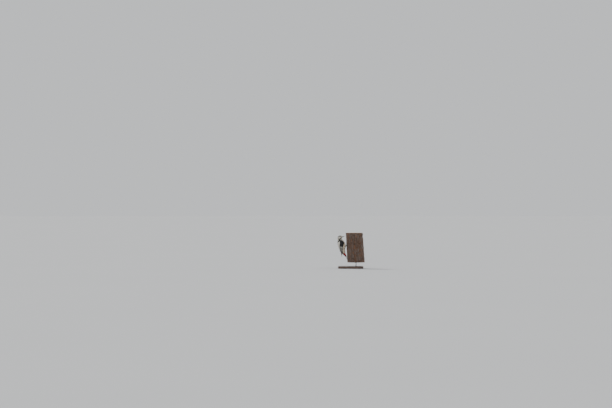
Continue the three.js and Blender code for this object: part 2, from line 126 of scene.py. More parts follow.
# Folded wing: height, x of the back line, x of the widest place, half width, y of the
# inner edge, x of the lower edge, and thickness.
WING = np.array([
    [155.0, 65.0, 44.0, 20.6, 19.4, 41.5, 1.6],
    [150.0, 67.4, 43.0, 23.6, 18.8, 31.5, 2.6],
    [140.0, 69.4, 42.0, 26.8, 17.4, 24.4, 3.2],
    [127.0, 68.8, 41.0, 28.6, 14.2, 21.4, 3.4],
    [114.0, 66.3, 39.5, 29.0, 10.6, 21.0, 3.2],
    [100.0, 61.8, 37.0, 28.2, 6.4, 22.2, 3.0],
    [86.0, 56.2, 34.5, 26.3, 2.6, 24.4, 2.8],
    [72.0, 51.2, 33.0, 23.8, 0.8, 27.0, 2.6],
    [60.0, 46.4, 32.0, 21.0, 0.8, 29.4, 2.4],
    [48.0, 42.0, 31.4, 17.6, 1.4, 31.8, 2.0],
    [36.0, 39.9, 31.4, 14.2, 3.2, 33.8, 1.6],
    [27.0, 38.8, 32.0, 11.6, 5.8, 35.4, 1.3],
    [21.0, 38.0, 33.0, 9.6, 7.8, 36.6, 1.0],
])

# Tail centre line from inside the coverts to the tip: x, z, half width, bow, thickness.
TAIL = np.array([
    [24.5, 43.2, 8.5, 3.6, 3.0],
    [14.2, 34.8, 11.0, 3.4, 3.0],
    [6.6, 27.0, 13.6, 3.0, 2.8],
    [0.9, 18.8, 16.0, 2.6, 2.4],
    [-2.9, 10.6, 17.4, 2.4, 2.0],
    [-5.4, 2.6, 17.0, 2.2, 1.4],
])

# Toes of the right foot: name, angle from straight up, length, claw length, radius.
TOES = (
    ("inner_front", -19, 11.0, 6.4, 1.35),
    ("outer_front", 15, 14.5, 7.2, 1.5),
    ("outer", 88, 14.0, 6.8, 1.45),
    ("hind", 196, 7.0, 5.0, 1.15),
)

# Plumage dyes, as linear colours.
BLACK = (0.0075, 0.0078, 0.0095)
SOOT = (0.020, 0.018, 0.017)
WHITE = (0.66, 0.62, 0.545)
BUFF = (0.66, 0.56, 0.43)
FOREHEAD = (0.58, 0.48, 0.34)
CRIMSON = (0.41, 0.010, 0.013)
BRISTLE = (0.085, 0.066, 0.050)

# ------------------------------------------------------------------ curves and fields


def along(rows, t):
    """Every column of a table at the fractional rows t, on a smooth curve through the rows."""
    last = len(rows) - 1
    t = np.clip(np.asarray(t, float), 0, last)
    i = np.minimum(t.astype(int), last - 1)
    f = (t - i)[..., None]
    a, b, c, d = (rows[np.clip(i + k, 0, last)] for k in (-1, 0, 1, 2))
    slope_in = (c - a) / 2
    slope_out = (d - b) / 2
    step = c - b
    return b + f * (slope_in + f * (3 * step - 2 * slope_in - slope_out + f * (slope_in + slope_out - 2 * step)))


def smoothstep(x, low, high):
    """Rises from 0 at low to 1 at high."""
    f = np.clip((x - low) / (high - low), 0, 1)
    return f * f * (3 - 2 * f)


def unit(v):
    """Vectors brought to length one."""
    return v / np.maximum(np.linalg.norm(v, axis=-1, keepdims=True), 1e-9)


def mix(a, b, share):
    """Blends two colours or vectors by a share for each row."""
    return np.asarray(a) * (1 - share[..., None]) + np.asarray(b) * share[..., None]


def turned(points):
    """Turns what lies above the shoulders with the head, less and less down the neck."""
    angle = -HEAD_TURN * smoothstep(points[..., 2], *NECK_TWIST)
    x = points[..., 0] - NECK_AXIS_X
    y = points[..., 1]
    out = points.copy()
    out[..., 0] = NECK_AXIS_X + x * np.cos(angle) - y * np.sin(angle)
    out[..., 1] = x * np.sin(angle) + y * np.cos(angle)
    return out


def line_distance(x, z, line):
    """Distance from places in the side view to a bent line, and the share along it."""
    best = np.full(x.shape, 1e9)
    share = np.zeros(x.shape)
    pieces = len(line) - 1
    for i in range(pieces):
        ax, az = line[i]
        bx, bz = line[i + 1]
        dx, dz = bx - ax, bz - az
        f = np.clip(((x - ax) * dx + (z - az) * dz) / (dx * dx + dz * dz), 0, 1)
        distance = np.hypot(x - ax - f * dx, z - az - f * dz)
        nearer = distance < best
        best = np.where(nearer, distance, best)
        share = np.where(nearer, (i + f) / pieces, share)
    return best, share


# ------------------------------------------------------------------ meshes


class Shape:
    """Gathers points, faces and notes on the points of one piece, then makes its mesh."""

    def __init__(self):
        self.points = []
        self.faces = []
        self.notes = {}
        self.count = 0

    def add(self, points, faces, **notes):
        points = np.asarray(points, float).reshape(-1, 3)
        self.points.append(points)
        self.faces += [np.asarray(block, int) + self.count for block in faces]
        for name, values in notes.items():
            values = np.asarray(values, float)
            wide = np.broadcast_to(values, (len(points), values.shape[-1]))
            self.notes.setdefault(name, []).append(wide)
        self.count += len(points)

    def build(self, name, material, crisp=None):
        points = (np.concatenate(self.points) + BIRD_ORIGIN) * MM
        corners = np.concatenate([block.ravel() for block in self.faces])
        sizes = np.concatenate([np.full(len(block), block.shape[1]) for block in self.faces])
        starts = np.concatenate([[0], np.cumsum(sizes)[:-1]])
        mesh = bpy.data.meshes.new(name)
        mesh.vertices.add(len(points))
        mesh.vertices.foreach_set("co", points.ravel())
        mesh.loops.add(len(corners))
        mesh.loops.foreach_set("vertex_index", corners)
        mesh.polygons.add(len(sizes))
        mesh.polygons.foreach_set("loop_start", starts)
        mesh.polygons.foreach_set("loop_total", sizes)
        mesh.update(calc_edges=True)
        mesh.polygons.foreach_set("use_smooth", np.full(len(sizes), True))
        if crisp:
            mesh.set_sharp_from_angle(angle=math.radians(crisp))
        for note, blocks in self.notes.items():
            write_note(mesh, note, np.concatenate(blocks), corners)
        mesh.materials.append(material)
        piece = bpy.data.objects.new(name, mesh)
        bpy.context.scene.collection.objects.link(piece)
        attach(piece, "root")
        return piece


def write_note(mesh, name, values, corners):
    """Writes a bake map, a colour, a direction or a number for each point of a mesh."""
    if name == "OFBake":
        layer = mesh.uv_layers.new(name=name)
        layer.data.foreach_set("uv", np.clip(values[corners], 0.002, 0.998).ravel())
    elif name == "dye":
        layer = mesh.attributes.new(name, "FLOAT_COLOR", "POINT")
        rgba = np.concatenate([values, np.ones((len(values), 1))], axis=1)
        layer.data.foreach_set("color", rgba.ravel())
    elif values.shape[1] == 3:
        layer = mesh.attributes.new(name, "FLOAT_VECTOR", "POINT")
        layer.data.foreach_set("vector", values.ravel())
    else:
        layer = mesh.attributes.new(name, "FLOAT", "POINT")
        layer.data.foreach_set("value", values.ravel())


def ring_faces(rings, around, closed=True):
    """Quads between rings of points, in order, with the outside to the right."""
    k = np.arange(around if closed else around - 1)
    following = (k + 1) % around
    rows = np.arange(rings - 1)[:, None] * around
    quads = np.stack([rows + k, rows + following, rows + following + around, rows + k + around], axis=-1)
    return quads.reshape(-1, 4)


def end_fans(rings, around, first, last):
    """Triangles that close both ends of a lofted form, round the points first and last."""
    k = np.arange(around)
    following = (k + 1) % around
    end = (rings - 1) * around
    start_fan = np.stack([np.full(around, first), following, k], axis=-1)
    end_fan = np.stack([np.full(around, last), end + k, end + following], axis=-1)
    return np.concatenate([start_fan, end_fan])


def outward(points, faces):
    """Turns all faces over if they enclose a negative volume."""
    volume = 0.0
    for block in faces:
        corners = points[block]
        for i in range(1, block.shape[1] - 1):
            cross = np.cross(corners[:, i], corners[:, i + 1])
            volume += np.einsum("ij,ij->", corners[:, 0], cross)
    return faces if volume > 0 else [block[:, ::-1] for block in faces]


def loft(grid):
    """Points and faces of a closed form from rings of points, shape (rings, around, 3)."""
    rings, around, _ = grid.shape
    middle = np.stack([grid[0].mean(axis=0), grid[-1].mean(axis=0)])
    points = np.concatenate([grid.reshape(-1, 3), middle])
    total = rings * around
    faces = [ring_faces(rings, around), end_fans(rings, around, total, total + 1)]
    return points, outward(points, faces)


def limb_rings(path, radii, around, across=(0, 1, 0), flat=1.0):
    """Rings of points round a path, wide along across and squeezed by flat the other way."""
    tangent = unit(np.gradient(path, axis=0))
    side = unit(np.cross(np.broadcast_to(across, path.shape), tangent))
    other = np.cross(tangent, side)
    angle = np.linspace(0, 2 * math.pi, around, endpoint=False)[None, :, None]
    reach = np.asarray(radii)[:, None, None]
    return path[:, None] + reach * (side[:, None] * np.cos(angle) * flat + other[:, None] * np.sin(angle))


# ------------------------------------------------------------------ trunk surface


def trunk_axis_x(z):
    return -TRUNK_RADIUS + TRUNK_LEAN * (z - GRIP_Z)


def chance(row, column, use):
    """A number from 0 to 1 that is always the same for one plate and one use."""
    value = np.sin(row * 12.9898 + column * 78.233 + use * 37.719) * 43758.5453
    return value - np.floor(value)


def bark_plates(angle, z, stray_around=0.0, stray_up=0.0, count=PLATES_AROUND, tall=PLATE_TALL):
    """The distance to the nearest furrow, and the row and column of the plate."""
    sway_around = 3.4 * np.sin(2 * angle + z / 17) + 2.1 * np.sin(5 * angle - z / 9.5 + 1.3)
    sway_up = 6 * np.sin(3 * angle - z / 23 + 0.7) + 3.5 * np.sin(7 * angle + z / 13)
    wide = 2 * math.pi * TRUNK_RADIUS / count
    u = (angle * TRUNK_RADIUS + sway_around + stray_around) / wide
    v = (z + sway_up + stray_up) / tall
    distances, places = [], []
    for along_u in (-1, 0, 1):
        for along_v in (-1, 0, 1):
            column = np.floor(u) + along_u
            row = np.floor(v) + along_v
            closed = column % count
            off_u = (u - column - 0.1 - 0.8 * chance(row, closed, 1)) * wide
            off_v = (v - row - 0.1 - 0.8 * chance(row, closed, 2)) * tall * PLATE_DRAWN_OUT
            distances.append(np.hypot(off_u, off_v))
            places.append((row, closed))
    order = np.argsort(distances, axis=0)
    ranked = np.take_along_axis(np.array(distances), order, axis=0)
    row, column = (np.take_along_axis(np.array(part), order, axis=0)[0] for part in zip(*places))
    return ranked[1] - ranked[0], row, column


def plate_form(edge, row, column):
    """How far long plates of bark stand out, each at its own height, with furrows between."""
    return FURROW_DEPTH * (smoothstep(edge, 0, FURROW_WIDTH) - 1) + PLATE_STEP * chance(row, column, 3) - PLATE_RISE


def calm_share(angle):
    """One where the bird holds on and the bark is almost even, nought round the sides."""
    sideways = np.abs(TRUNK_RADIUS * np.sin(angle))
    return (np.cos(angle) > 0) * (1 - smoothstep(sideways, BARK_CALM_FROM, BARK_CALM_TO))


def bark_radius(angle, z, plates=None):
    """The main form of the bark, the same as the solid trunk's."""
    if plates is None:
        plates = plate_form(*bark_plates(angle, z))
    waves = np.sin(6 * angle + 1.4 * np.sin(z / 26)) * np.cos(z / 17 + 2 * np.sin(3 * angle))
    relief = plates + (BARK_CALM * waves - plates) * calm_share(angle)
    return TRUNK_RADIUS - TRUNK_TAPER * (z - GRIP_Z) + relief - BARK_CALM


def bark_x(y, z):
    """The x of the bark in front of the bird."""
    angle = np.arcsin(y / TRUNK_RADIUS)
    for _ in range(4):
        angle = np.arcsin(y / bark_radius(angle, z))
    return trunk_axis_x(z) + bark_radius(angle, z) * np.cos(angle)


# ------------------------------------------------------------------ body form

HEAD_FORMS = (  # x, |y|, z, spread and height of soft swellings and hollows of the head
    (49.0, 14.0, 175.5, 6.5, 0.9),
    (33.4, 9.3, 182.0, 2.8, -1.0),
    (41.5, 10.5, 187.4, 4.0, 0.6),
    (39.6, 12.2, 182.6, 4.2, 0.9),
)


def body_points(t, angle):
    """Outer form of the plumage at the stations t and the angles round them, 0 at the back."""
    front_x, front_z, back_x, back_z, half_width, egg = np.moveaxis(along(BODY, t), -1, 0)
    across = np.sin(angle)
    run = np.cos(angle) + egg * across**2
    x = (front_x + back_x) / 2 + run * (back_x - front_x) / 2
    z = (front_z + back_z) / 2 + run * (back_z - front_z) / 2
    return np.stack([x, half_width * across, z], axis=-1)


def grid_normals(grid):
    """Outward normals of a grid of points that closes round its second axis."""
    down = np.gradient(grid, axis=0)
    round_ = np.roll(grid, -1, axis=1) - np.roll(grid, 1, axis=1)
    normal = unit(np.cross(round_, down))
    centre = grid.mean(axis=1, keepdims=True)
    facing = np.sign(np.median(np.einsum("ijk,ijk->ij", normal, grid - centre)))
    return normal * facing


def head_relief(grid, normals):
    """Adds the cheek, the brow and the hollow in front of the eye."""
    push = np.zeros(grid.shape[:2])
    for x, y, z, spread, height in HEAD_FORMS:
        away = np.stack([grid[..., 0] - x, np.abs(grid[..., 1]) - y, grid[..., 2] - z], axis=-1)
        push += height * np.exp(-np.sum(away**2, axis=-1) / (2 * spread**2))
    return grid + normals * push[..., None]


class Surface:
    """A closed form as a grid of points that feathers are laid on."""

    def __init__(self, grid, relief=None):
        normals = grid_normals(grid)
        self.grid = relief(grid, normals) if relief else grid
        self.normals = grid_normals(self.grid)
        rings, around, _ = grid.shape
        quads = ring_faces(rings, around)
        self.tree = BVHTree.FromPolygons(self.grid.reshape(-1, 3).tolist(), quads.tolist())
        self.around = around

    def nearest(self, points):
        """The nearest places on the surface, with smooth normals."""
        found = np.empty(points.shape)
        normals = np.empty(points.shape)
        flat = self.normals.reshape(-1, 3)
        rows, around = self.grid.shape[:2]
        for i, point in enumerate(points):
            place, _, index, _ = self.tree.find_nearest(Vector(point))
            found[i] = place
            row, column = divmod(index, around)
            ahead = (column + 1) % around
            corners = [row * around + column, row * around + ahead]
            corners += [corner + around for corner in corners]
            normals[i] = flat[corners].mean(axis=0)
        return found, unit(normals)

    def spines(self, roots, lengths, lie, steps, stray):
        """Walks over the surface from each root, the way the coat lies, a little astray."""
        place, normal = self.nearest(roots)
        places, normals = [place], [normal]
        for _ in range(steps):
            way = lie(place)
            way = unit(way - normal * np.sum(way * normal, axis=-1, keepdims=True))
            way = unit(way + stray[:, None] * np.cross(normal, way))
            place, normal = self.nearest(place + way * (lengths / steps)[:, None])
            places.append(place)
            normals.append(normal)
        return np.stack(places, axis=1), np.stack(normals, axis=1)


def body_lie(points):
    """The way feathers lie: back from the bill over the head, then down to the tail."""
    from_bill = unit(points - (BILL_BASE + np.array([-3.0, 0.0, -1.0])))
    z = points[..., 2]
    down = np.stack([-0.9 * (1 - smoothstep(z, 40, 66)), 0 * z, -np.ones_like(z)], axis=-1)
    outwards = np.zeros_like(points)
    outwards[..., 1] = 0.18 * np.sign(points[..., 1]) * (points[..., 0] < 35)
    way = mix(unit(down + outwards), from_bill, smoothstep(z, 156, 172))
    off_eye = points - eye_front(points)
    distance = np.linalg.norm(off_eye, axis=-1, keepdims=True)
    aside = unit(off_eye - way * np.sum(off_eye * way, axis=-1, keepdims=True))
    return way + 1.3 * np.exp(-((distance / 4.2) ** 2)) * aside


def eye_front(points):
    """The middle of the nearer eye's opening."""
    place = np.broadcast_to(EYE + EYE_OPENING, points.shape).copy()
    place[..., 1] *= np.sign(points[..., 1] + 1e-9)
    return place


# ------------------------------------------------------------------ plumage pattern

MOUSTACHE = ((30.6, 175.6), (36.5, 170.0), (44, 165.4), (50, 161.8), (53, 156.5), (50, 150), (43, 144), (36, 140))
EAR_BAR = ((50.5, 161.5), (56, 166.5), (60.5, 172), (63.5, 178))


def plumage(points, angle):
    """The colour of the plumage at places on the body."""
    x, z = points[..., 0], points[..., 2]
    wide = np.abs(points[..., 1])
    back = np.cos(angle)
    dye = np.broadcast_to(np.array(WHITE), points.shape).copy()
    dye = mix(dye, BUFF, 1 - smoothstep(z, 138, 168))
    belly = smoothstep(z + 0.10 * wide, 60, 68)
    dye = mix(CRIMSON * np.ones_like(dye), dye, belly)
    black = np.zeros(x.shape)

    crown_edge = np.interp(x, [28, 33, 37, 41, 47, 53, 59, 66], [190, 187.2, 185.0, 184.2, 183.0, 181, 178.6, 176.5])
    black = np.maximum(black, smoothstep(z, crown_edge - 0.3, crown_edge + 0.3) * (x > 33.9))
    nape_half = np.interp(z, [100, 135, 147, 158, 168, 176], [40, 26, 15, 9, 7.5, 9])
    behind = smoothstep(x, 55, 57) * (z < 182)
    black = np.maximum(black, behind * (wide < nape_half))
    distance, share = line_distance(x, z, MOUSTACHE)
    thick = np.interp(share, [0, 0.2, 0.55, 0.8, 1], [1.1, 2.0, 2.9, 3.8, 4.6])
    black = np.maximum(black, (distance < thick) * (wide > np.interp(share, [0, 0.15], [2.2, 5.0])))
    distance, share = line_distance(x, z, EAR_BAR)
    black = np.maximum(black, (distance < 2.3) * (wide > 5))
    black = np.maximum(black, (z < 146) * (back > np.interp(z, [40, 58, 70], [0.62, 0.5, 0.12])))
    dye = mix(dye, BLACK, np.clip(black, 0, 1))

    forehead = (x < 33.9) * (z > 181.5)
    dye = mix(dye, FOREHEAD, forehead.astype(float))
    nape = (x > 57.5) * (z > 168.5) * (z < 180.5) * (wide < 9.8)
    dye = mix(dye, CRIMSON, nape.astype(float))
    return dye


# ------------------------------------------------------------------ feathers


BAR_START = 5.0
BAR_PITCH = 9.4


def vane_faces(rows, columns):
    """Faces of one feather: an upper grid and a lower one that share their rim."""
    upper = np.arange((rows + 1) * (columns + 1)).reshape(rows + 1, columns + 1)
    lower = upper.copy()
    inner = np.arange((rows - 1) * (columns - 1)).reshape(rows - 1, columns - 1)
    lower[1:-1, 1:-1] = upper.size + inner
    top = np.stack([upper[:-1, :-1], upper[1:, :-1], upper[1:, 1:], upper[:-1, 1:]], axis=-1)
    under = np.stack([lower[:-1, :-1], lower[:-1, 1:], lower[1:, 1:], lower[1:, :-1]], axis=-1)
    return np.concatenate([top.reshape(-1, 4), under.reshape(-1, 4)])


class Cut:
    """How a kind of feather is cut: its grid, outline, thickness, curl and ragged tip."""

    def __init__(self, rows, columns, thickness, curl=0.02, camber=0.08, tip_round=0.22,
                 tip_power=2.2, fringe=0.1, waist=0.45, widest=0.6, end=0.35, shaft=0.0,
                 outer_web=1.0, tuck=0.0):
        self.rows = rows
        self.columns = columns
        self.thickness = thickness
        self.curl = curl
        self.camber = camber
        self.tip_round = tip_round
        self.tip_power = tip_power
        self.fringe = fringe
        self.waist = waist
        self.widest = widest
        self.end = end
        self.shaft = shaft
        self.outer_web = outer_web
        self.tuck = tuck

    def width(self, u):
        """Share of the full half width at the share u of the length."""
        rise = self.waist + (1 - self.waist) * smoothstep(u, 0, self.widest)
        fall = 1 - (1 - self.end) * np.clip((u - self.widest) / (1 - self.widest), 0, 1) ** 2
        return rise * fall


def lay(shape, cut, spines, normals, widths, lifts, dye, bake, rng, side=1, warp=turned, bars=0.0, level=False):
    """Adds a batch of feathers to a shape.

    spines and normals run from root to tip, shape (n, samples, 3). lifts holds the height
    of the root and of the tip over the spine."""
    n, samples, _ = spines.shape
    across = np.linspace(-1, 1, cut.columns + 1)
    reach = 1 - cut.tip_round * np.abs(across) ** cut.tip_power
    ragged = 1 - cut.fringe * rng.random((n, cut.columns + 1))
    if cut.fringe > 0:
        ragged[:, 1::2] -= 0.5 * cut.fringe
    u = np.linspace(0, 1, cut.rows + 1)[None, :, None] * (reach * ragged)[:, None, :]
    place = u * (samples - 1)
    low = np.clip(place.astype(int), 0, samples - 2)
    part = (place - low)[..., None]
    feather = np.arange(n)[:, None, None]
    tangents = unit(np.gradient(spines, axis=1))
    aside = unit(np.cross(normals, tangents))

    def sample(values):
        return values[feather, low] * (1 - part) + values[feather, low + 1] * part

    width = widths[:, None, None] * cut.width(u)
    web = np.where(across * side > 0, cut.outer_web, 1.0)
    offset = width * (across * web)[None, None, :]
    lift = lifts[0][:, None, None] + (lifts[1] - lifts[0])[:, None, None] * u**1.4
    rise = lift - cut.curl * offset**2 + cut.camber * width * (1 - across**2)
    rise += cut.shaft * np.exp(-((across * 9) ** 2)) * (1 - 0.6 * u)
    rise -= cut.tuck * width * np.clip(-across * side, 0, 1) ** 2
    normal = unit(sample(normals))
    upper = sample(spines) + sample(aside) * offset[..., None] + normal * rise[..., None]
    under = (upper - normal * cut.thickness)[:, 1:-1, 1:-1]
    points = np.concatenate([upper.reshape(n, -1, 3), under.reshape(n, -1, 3)], axis=1)

    lengths = np.linalg.norm(np.diff(spines, axis=1), axis=-1).sum(axis=1)
    vane = np.stack([
        (u * lengths[:, None, None]),
        np.broadcast_to(across * side, u.shape),
        np.broadcast_to(rng.random(n)[:, None, None], u.shape),
    ], axis=-1)
    patch = bake[:, None, None, :] + np.stack([
        np.broadcast_to(across * 0.0015, u.shape), (u - 0.5) * 0.003], axis=-1)
    to_tip = ((1 - u) * lengths[:, None, None])[..., None]
    bar_place = upper[..., 2:] if level else to_tip - BAR_START
    notes = {
        "vane": vane,
        "OFBake": patch,
        "dye": np.broadcast_to(dye[:, None, None, :], upper.shape),
        "to_tip": to_tip,
        "bar_place": bar_place / BAR_PITCH,
        "bars": np.broadcast_to(np.asarray(bars, float).reshape(-1, 1, 1, 1), to_tip.shape),
    }
    notes = {
        name: np.concatenate(
            [v.reshape(n, -1, v.shape[-1]), v[:, 1:-1, 1:-1].reshape(n, -1, v.shape[-1])], axis=1)
        for name, v in notes.items()
    }
    template = vane_faces(cut.rows, cut.columns)
    per_feather = points.shape[1]
    faces = (template[None] + (np.arange(n) * per_feather)[:, None, None]).reshape(-1, 4)
    flat = {name: v.reshape(-1, v.shape[-1]) for name, v in notes.items()}
    shape.add(warp(points.reshape(-1, 3)), [faces], **flat)


def sow(points_at, t_from, t_to, spacing, rng, jitter=0.7):
    """Roots in staggered rows round a form: their stations and angles."""
    fine_t = np.linspace(t_from, t_to, 400)
    fine_angle = np.linspace(0, 2 * math.pi, 241)
    sides = points_at(fine_t[:, None], np.array([0.0, 1.5, 3.1, 4.7])[None, :])
    steps = np.linalg.norm(np.diff(sides, axis=0), axis=-1).mean(axis=1)
    run = np.concatenate([[0], np.cumsum(steps / spacing(fine_t[1:]))])
    rows = np.interp(np.arange(0.5, run[-1]), run, fine_t)
    pace = np.gradient(rows)
    stations, angles = [], []
    for i, t in enumerate(rows):
        ring = points_at(np.full(fine_angle.shape, t), fine_angle)
        arc = np.concatenate([[0], np.cumsum(np.linalg.norm(np.diff(ring, axis=0), axis=-1))])
        gap = spacing(np.array([t]))[0]
        number = max(int(arc[-1] / gap), 4)
        places = (np.arange(number) + 0.5 * (i % 2) + jitter * (rng.random(number) - 0.5)) * arc[-1] / number
        stations.append(t + jitter * (rng.random(number) - 0.5) * pace[i])
        angles.append(np.interp(places % arc[-1], arc, fine_angle))
    return np.concatenate(stations), np.concatenate(angles)


# ------------------------------------------------------------------ materials


class Nodes:
    """Short ways to add and join nodes of one material or node group."""

    def __init__(self, tree):
        self.tree = tree

    def add(self, kind, inputs=None, **settings):
        made = self.tree.nodes.new(kind)
        for name, value in settings.items():
            setattr(made, name, value)
        for key, value in (inputs or {}).items():
            self.feed(made.inputs[key], value)
        return made

    def feed(self, socket, value):
        if isinstance(value, bpy.types.NodeSocket):
            self.tree.links.new(value, socket)
        else:
            socket.default_value = value

    def math(self, operation, a, b=None, c=None, clamp=False):
        inputs = {i: v for i, v in enumerate((a, b, c)) if v is not None}
        return self.add("ShaderNodeMath", inputs, operation=operation, use_clamp=clamp).outputs[0]

    def mix(self, factor, a, b, blend="MIX"):
        made = self.add("ShaderNodeMix", data_type="RGBA", blend_type=blend)
        for socket, value in ((made.inputs[0], factor), (made.inputs[6], a), (made.inputs[7], b)):
            self.feed(socket, value)
        return made.outputs[2]

    def span(self, value, low, high, to_low=0.0, to_high=1.0):
        inputs = {0: value, 1: low, 2: high, 3: to_low, 4: to_high}
        made = self.add("ShaderNodeMapRange", inputs, interpolation_type="SMOOTHSTEP")
        return made.outputs[0]

    def note(self, name, output="Color"):
        return self.add("ShaderNodeAttribute", attribute_name=name).outputs[output]

    def noise(self, vector, scale, detail=3.0, roughness=0.55):
        inputs = {"Vector": vector, "Scale": scale, "Detail": detail, "Roughness": roughness}
        return self.add("ShaderNodeTexNoise", inputs).outputs["Fac"]


def new_group(name, inputs, outputs):
    """An empty shader group with named sockets, and its nodes, input and output."""
    tree = bpy.data.node_groups.new(name, "ShaderNodeTree")
    for label, kind in inputs:
        tree.interface.new_socket(label, in_out="INPUT", socket_type=kind)
    for label, kind in outputs:
        tree.interface.new_socket(label, in_out="OUTPUT", socket_type=kind)
    nodes = Nodes(tree)
    given = nodes.add("NodeGroupInput").outputs
    result = nodes.add("NodeGroupOutput").inputs
    return tree, nodes, given, result


def feather_web_group():
    """Barbs and shaft of a feather: shades its dye, and gives a height for its bump."""
    inputs = [("Dye", "NodeSocketColor"), ("Vane", "NodeSocketVector"), ("Contrast", "NodeSocketFloat")]
    outputs = [("Color", "NodeSocketColor"), ("Height", "NodeSocketFloat"), ("Gloss", "NodeSocketFloat")]
    tree, nodes, given, result = new_group("feather_web", inputs, outputs)
    parts = nodes.add("ShaderNodeSeparateXYZ", {0: given["Vane"]})
    run, across, chance = parts.outputs
    away = nodes.math("ABSOLUTE", across)
    slant = nodes.math("SUBTRACT", run, nodes.math("MULTIPLY", away, 3.4))
    wobble = nodes.noise(nodes.add("ShaderNodeCombineXYZ", {0: run, 1: across, 2: nodes.math("MULTIPLY", chance, 40.0)}).outputs[0], 0.9)
    phase = nodes.math("ADD", nodes.math("MULTIPLY", slant, 15.0), nodes.math("MULTIPLY", wobble, 7.0))
    barbs = nodes.math("MULTIPLY_ADD", nodes.math("SINE", phase), 0.5, 0.5)
    shaft = nodes.span(away, 0.0, 0.07, 1.0, 0.0)
    shade = nodes.math("MULTIPLY_ADD", nodes.math("SUBTRACT", barbs, 0.5), given["Contrast"], 1.0)
    chance_shade = nodes.math("MULTIPLY_ADD", nodes.math("SUBTRACT", chance, 0.5), 0.22, 1.0)
    tone = nodes.math("MULTIPLY", shade, chance_shade)
    tinted = nodes.add("ShaderNodeVectorMath", {0: given["Dye"], 1: nodes.add("ShaderNodeCombineXYZ", {0: tone, 1: tone, 2: tone}).outputs[0]}, operation="MULTIPLY").outputs[0]
    nodes.feed(result["Color"], tinted)
    height = nodes.math("ADD", nodes.math("MULTIPLY", barbs, 0.5), shaft)
    nodes.feed(result["Height"], height)
    nodes.feed(result["Gloss"], nodes.math("MULTIPLY_ADD", barbs, 0.12, 0.0))
    return tree


def mottle_group():
    """Two sizes of soft mottling: blends a dark and a light colour and gives a height."""
    inputs = [("Dark", "NodeSocketColor"), ("Light", "NodeSocketColor"), ("Size", "NodeSocketFloat"), ("Vector", "NodeSocketVector")]
    outputs = [("Color", "NodeSocketColor"), ("Height", "NodeSocketFloat")]
    tree, nodes, given, result = new_group("mottle", inputs, outputs)
    scale = nodes.math("DIVIDE", 1.0, given["Size"])
    broad = nodes.noise(given["Vector"], scale, 4.0)
    fine = nodes.noise(given["Vector"], nodes.math("MULTIPLY", scale, 5.0), 3.0)
    blend = nodes.math("MULTIPLY_ADD", nodes.math("SUBTRACT", fine, 0.5), 0.5, broad)
    nodes.feed(result["Color"], nodes.mix(nodes.span(blend, 0.3, 0.7), given["Dark"], given["Light"]))
    nodes.feed(result["Height"], blend)
    return tree


def new_material(name, **settings):
    """A material with a Principled shader whose plain sockets are set by name."""
    made = bpy.data.materials.new(name)
    made.use_nodes = True
    shader = made.node_tree.nodes["Principled BSDF"]
    for key, value in settings.items():
        shader.inputs[key.replace("_", " ").title().replace("Ior", "IOR")].default_value = value
    return made, Nodes(made.node_tree), shader


def bump(nodes, shader, height, strength, distance):
    """Feeds a height to the shader as a bump, distance in metres."""
    made = nodes.add("ShaderNodeBump", {"Strength": strength, "Distance": distance, "Height": height})
    nodes.feed(shader.inputs["Normal"], made.outputs[0])


def rgba(color):
    return (*color, 1.0)


FEATHER_WEB = feather_web_group()
MOTTLE = mottle_group()


def feather_material(name, contrast, barred=False):
    """Feathers dyed by their own note; flight feathers carry white bars towards the tip."""
    made, nodes, shader = new_material(name, specular_ior_level=0.32 if barred else 0.16)
    dye = nodes.note("dye")
    vane = nodes.note("vane", "Vector")
    if barred:
        dye = white_bars(nodes, dye, vane)
    web = nodes.add("ShaderNodeGroup", node_tree=FEATHER_WEB)
    for key, value in (("Dye", dye), ("Vane", vane), ("Contrast", contrast)):
        nodes.feed(web.inputs[key], value)
    nodes.feed(shader.inputs["Base Color"], web.outputs["Color"])
    light = nodes.add("ShaderNodeRGBToBW", {0: dye}).outputs[0]
    dull = nodes.span(light, 0.02, 0.3, 0.40 if barred else 0.52, 0.72)
    nodes.feed(shader.inputs["Roughness"], nodes.math("ADD", dull, web.outputs["Gloss"]))
    bump(nodes, shader, web.outputs["Height"], 0.35, 0.0001)
    return made


def white_bars(nodes, dye, vane):
    """White bars across a flight feather, mostly on its outer web."""
    across = nodes.add("ShaderNodeSeparateXYZ", {0: vane}).outputs[1]
    chance = nodes.add("ShaderNodeSeparateXYZ", {0: vane}).outputs[2]
    wobble = nodes.math("MULTIPLY", nodes.math("SUBTRACT", nodes.noise(vane, 1.3), 0.5), 0.06)
    to_tip = nodes.note("to_tip", "Fac")
    uneven = nodes.math("MULTIPLY", nodes.math("SUBTRACT", chance, 0.5), 0.12)
    slant = nodes.math("MULTIPLY_ADD", across, 0.08, uneven)
    shifted = nodes.math("ADD", nodes.note("bar_place", "Fac"), nodes.math("ADD", slant, wobble))
    wave = nodes.math("ABSOLUTE", nodes.math("SUBTRACT", nodes.math("FRACT", shifted), 0.5))
    bar = nodes.span(wave, 0.19, 0.235, 1.0, 0.0)
    started = nodes.span(to_tip, BAR_START, BAR_START + 0.5)
    web = nodes.span(across, 0.04, 0.12, 0.0, 1.0)
    strength = nodes.note("bars", "Fac")
    web_or_all = nodes.math("MAXIMUM", web, nodes.span(strength, 1.4, 1.6))
    mask = nodes.math("MULTIPLY", nodes.math("MULTIPLY", bar, started), nodes.math("MULTIPLY", web_or_all, strength), clamp=True)
    return nodes.mix(mask, dye, rgba(WHITE))


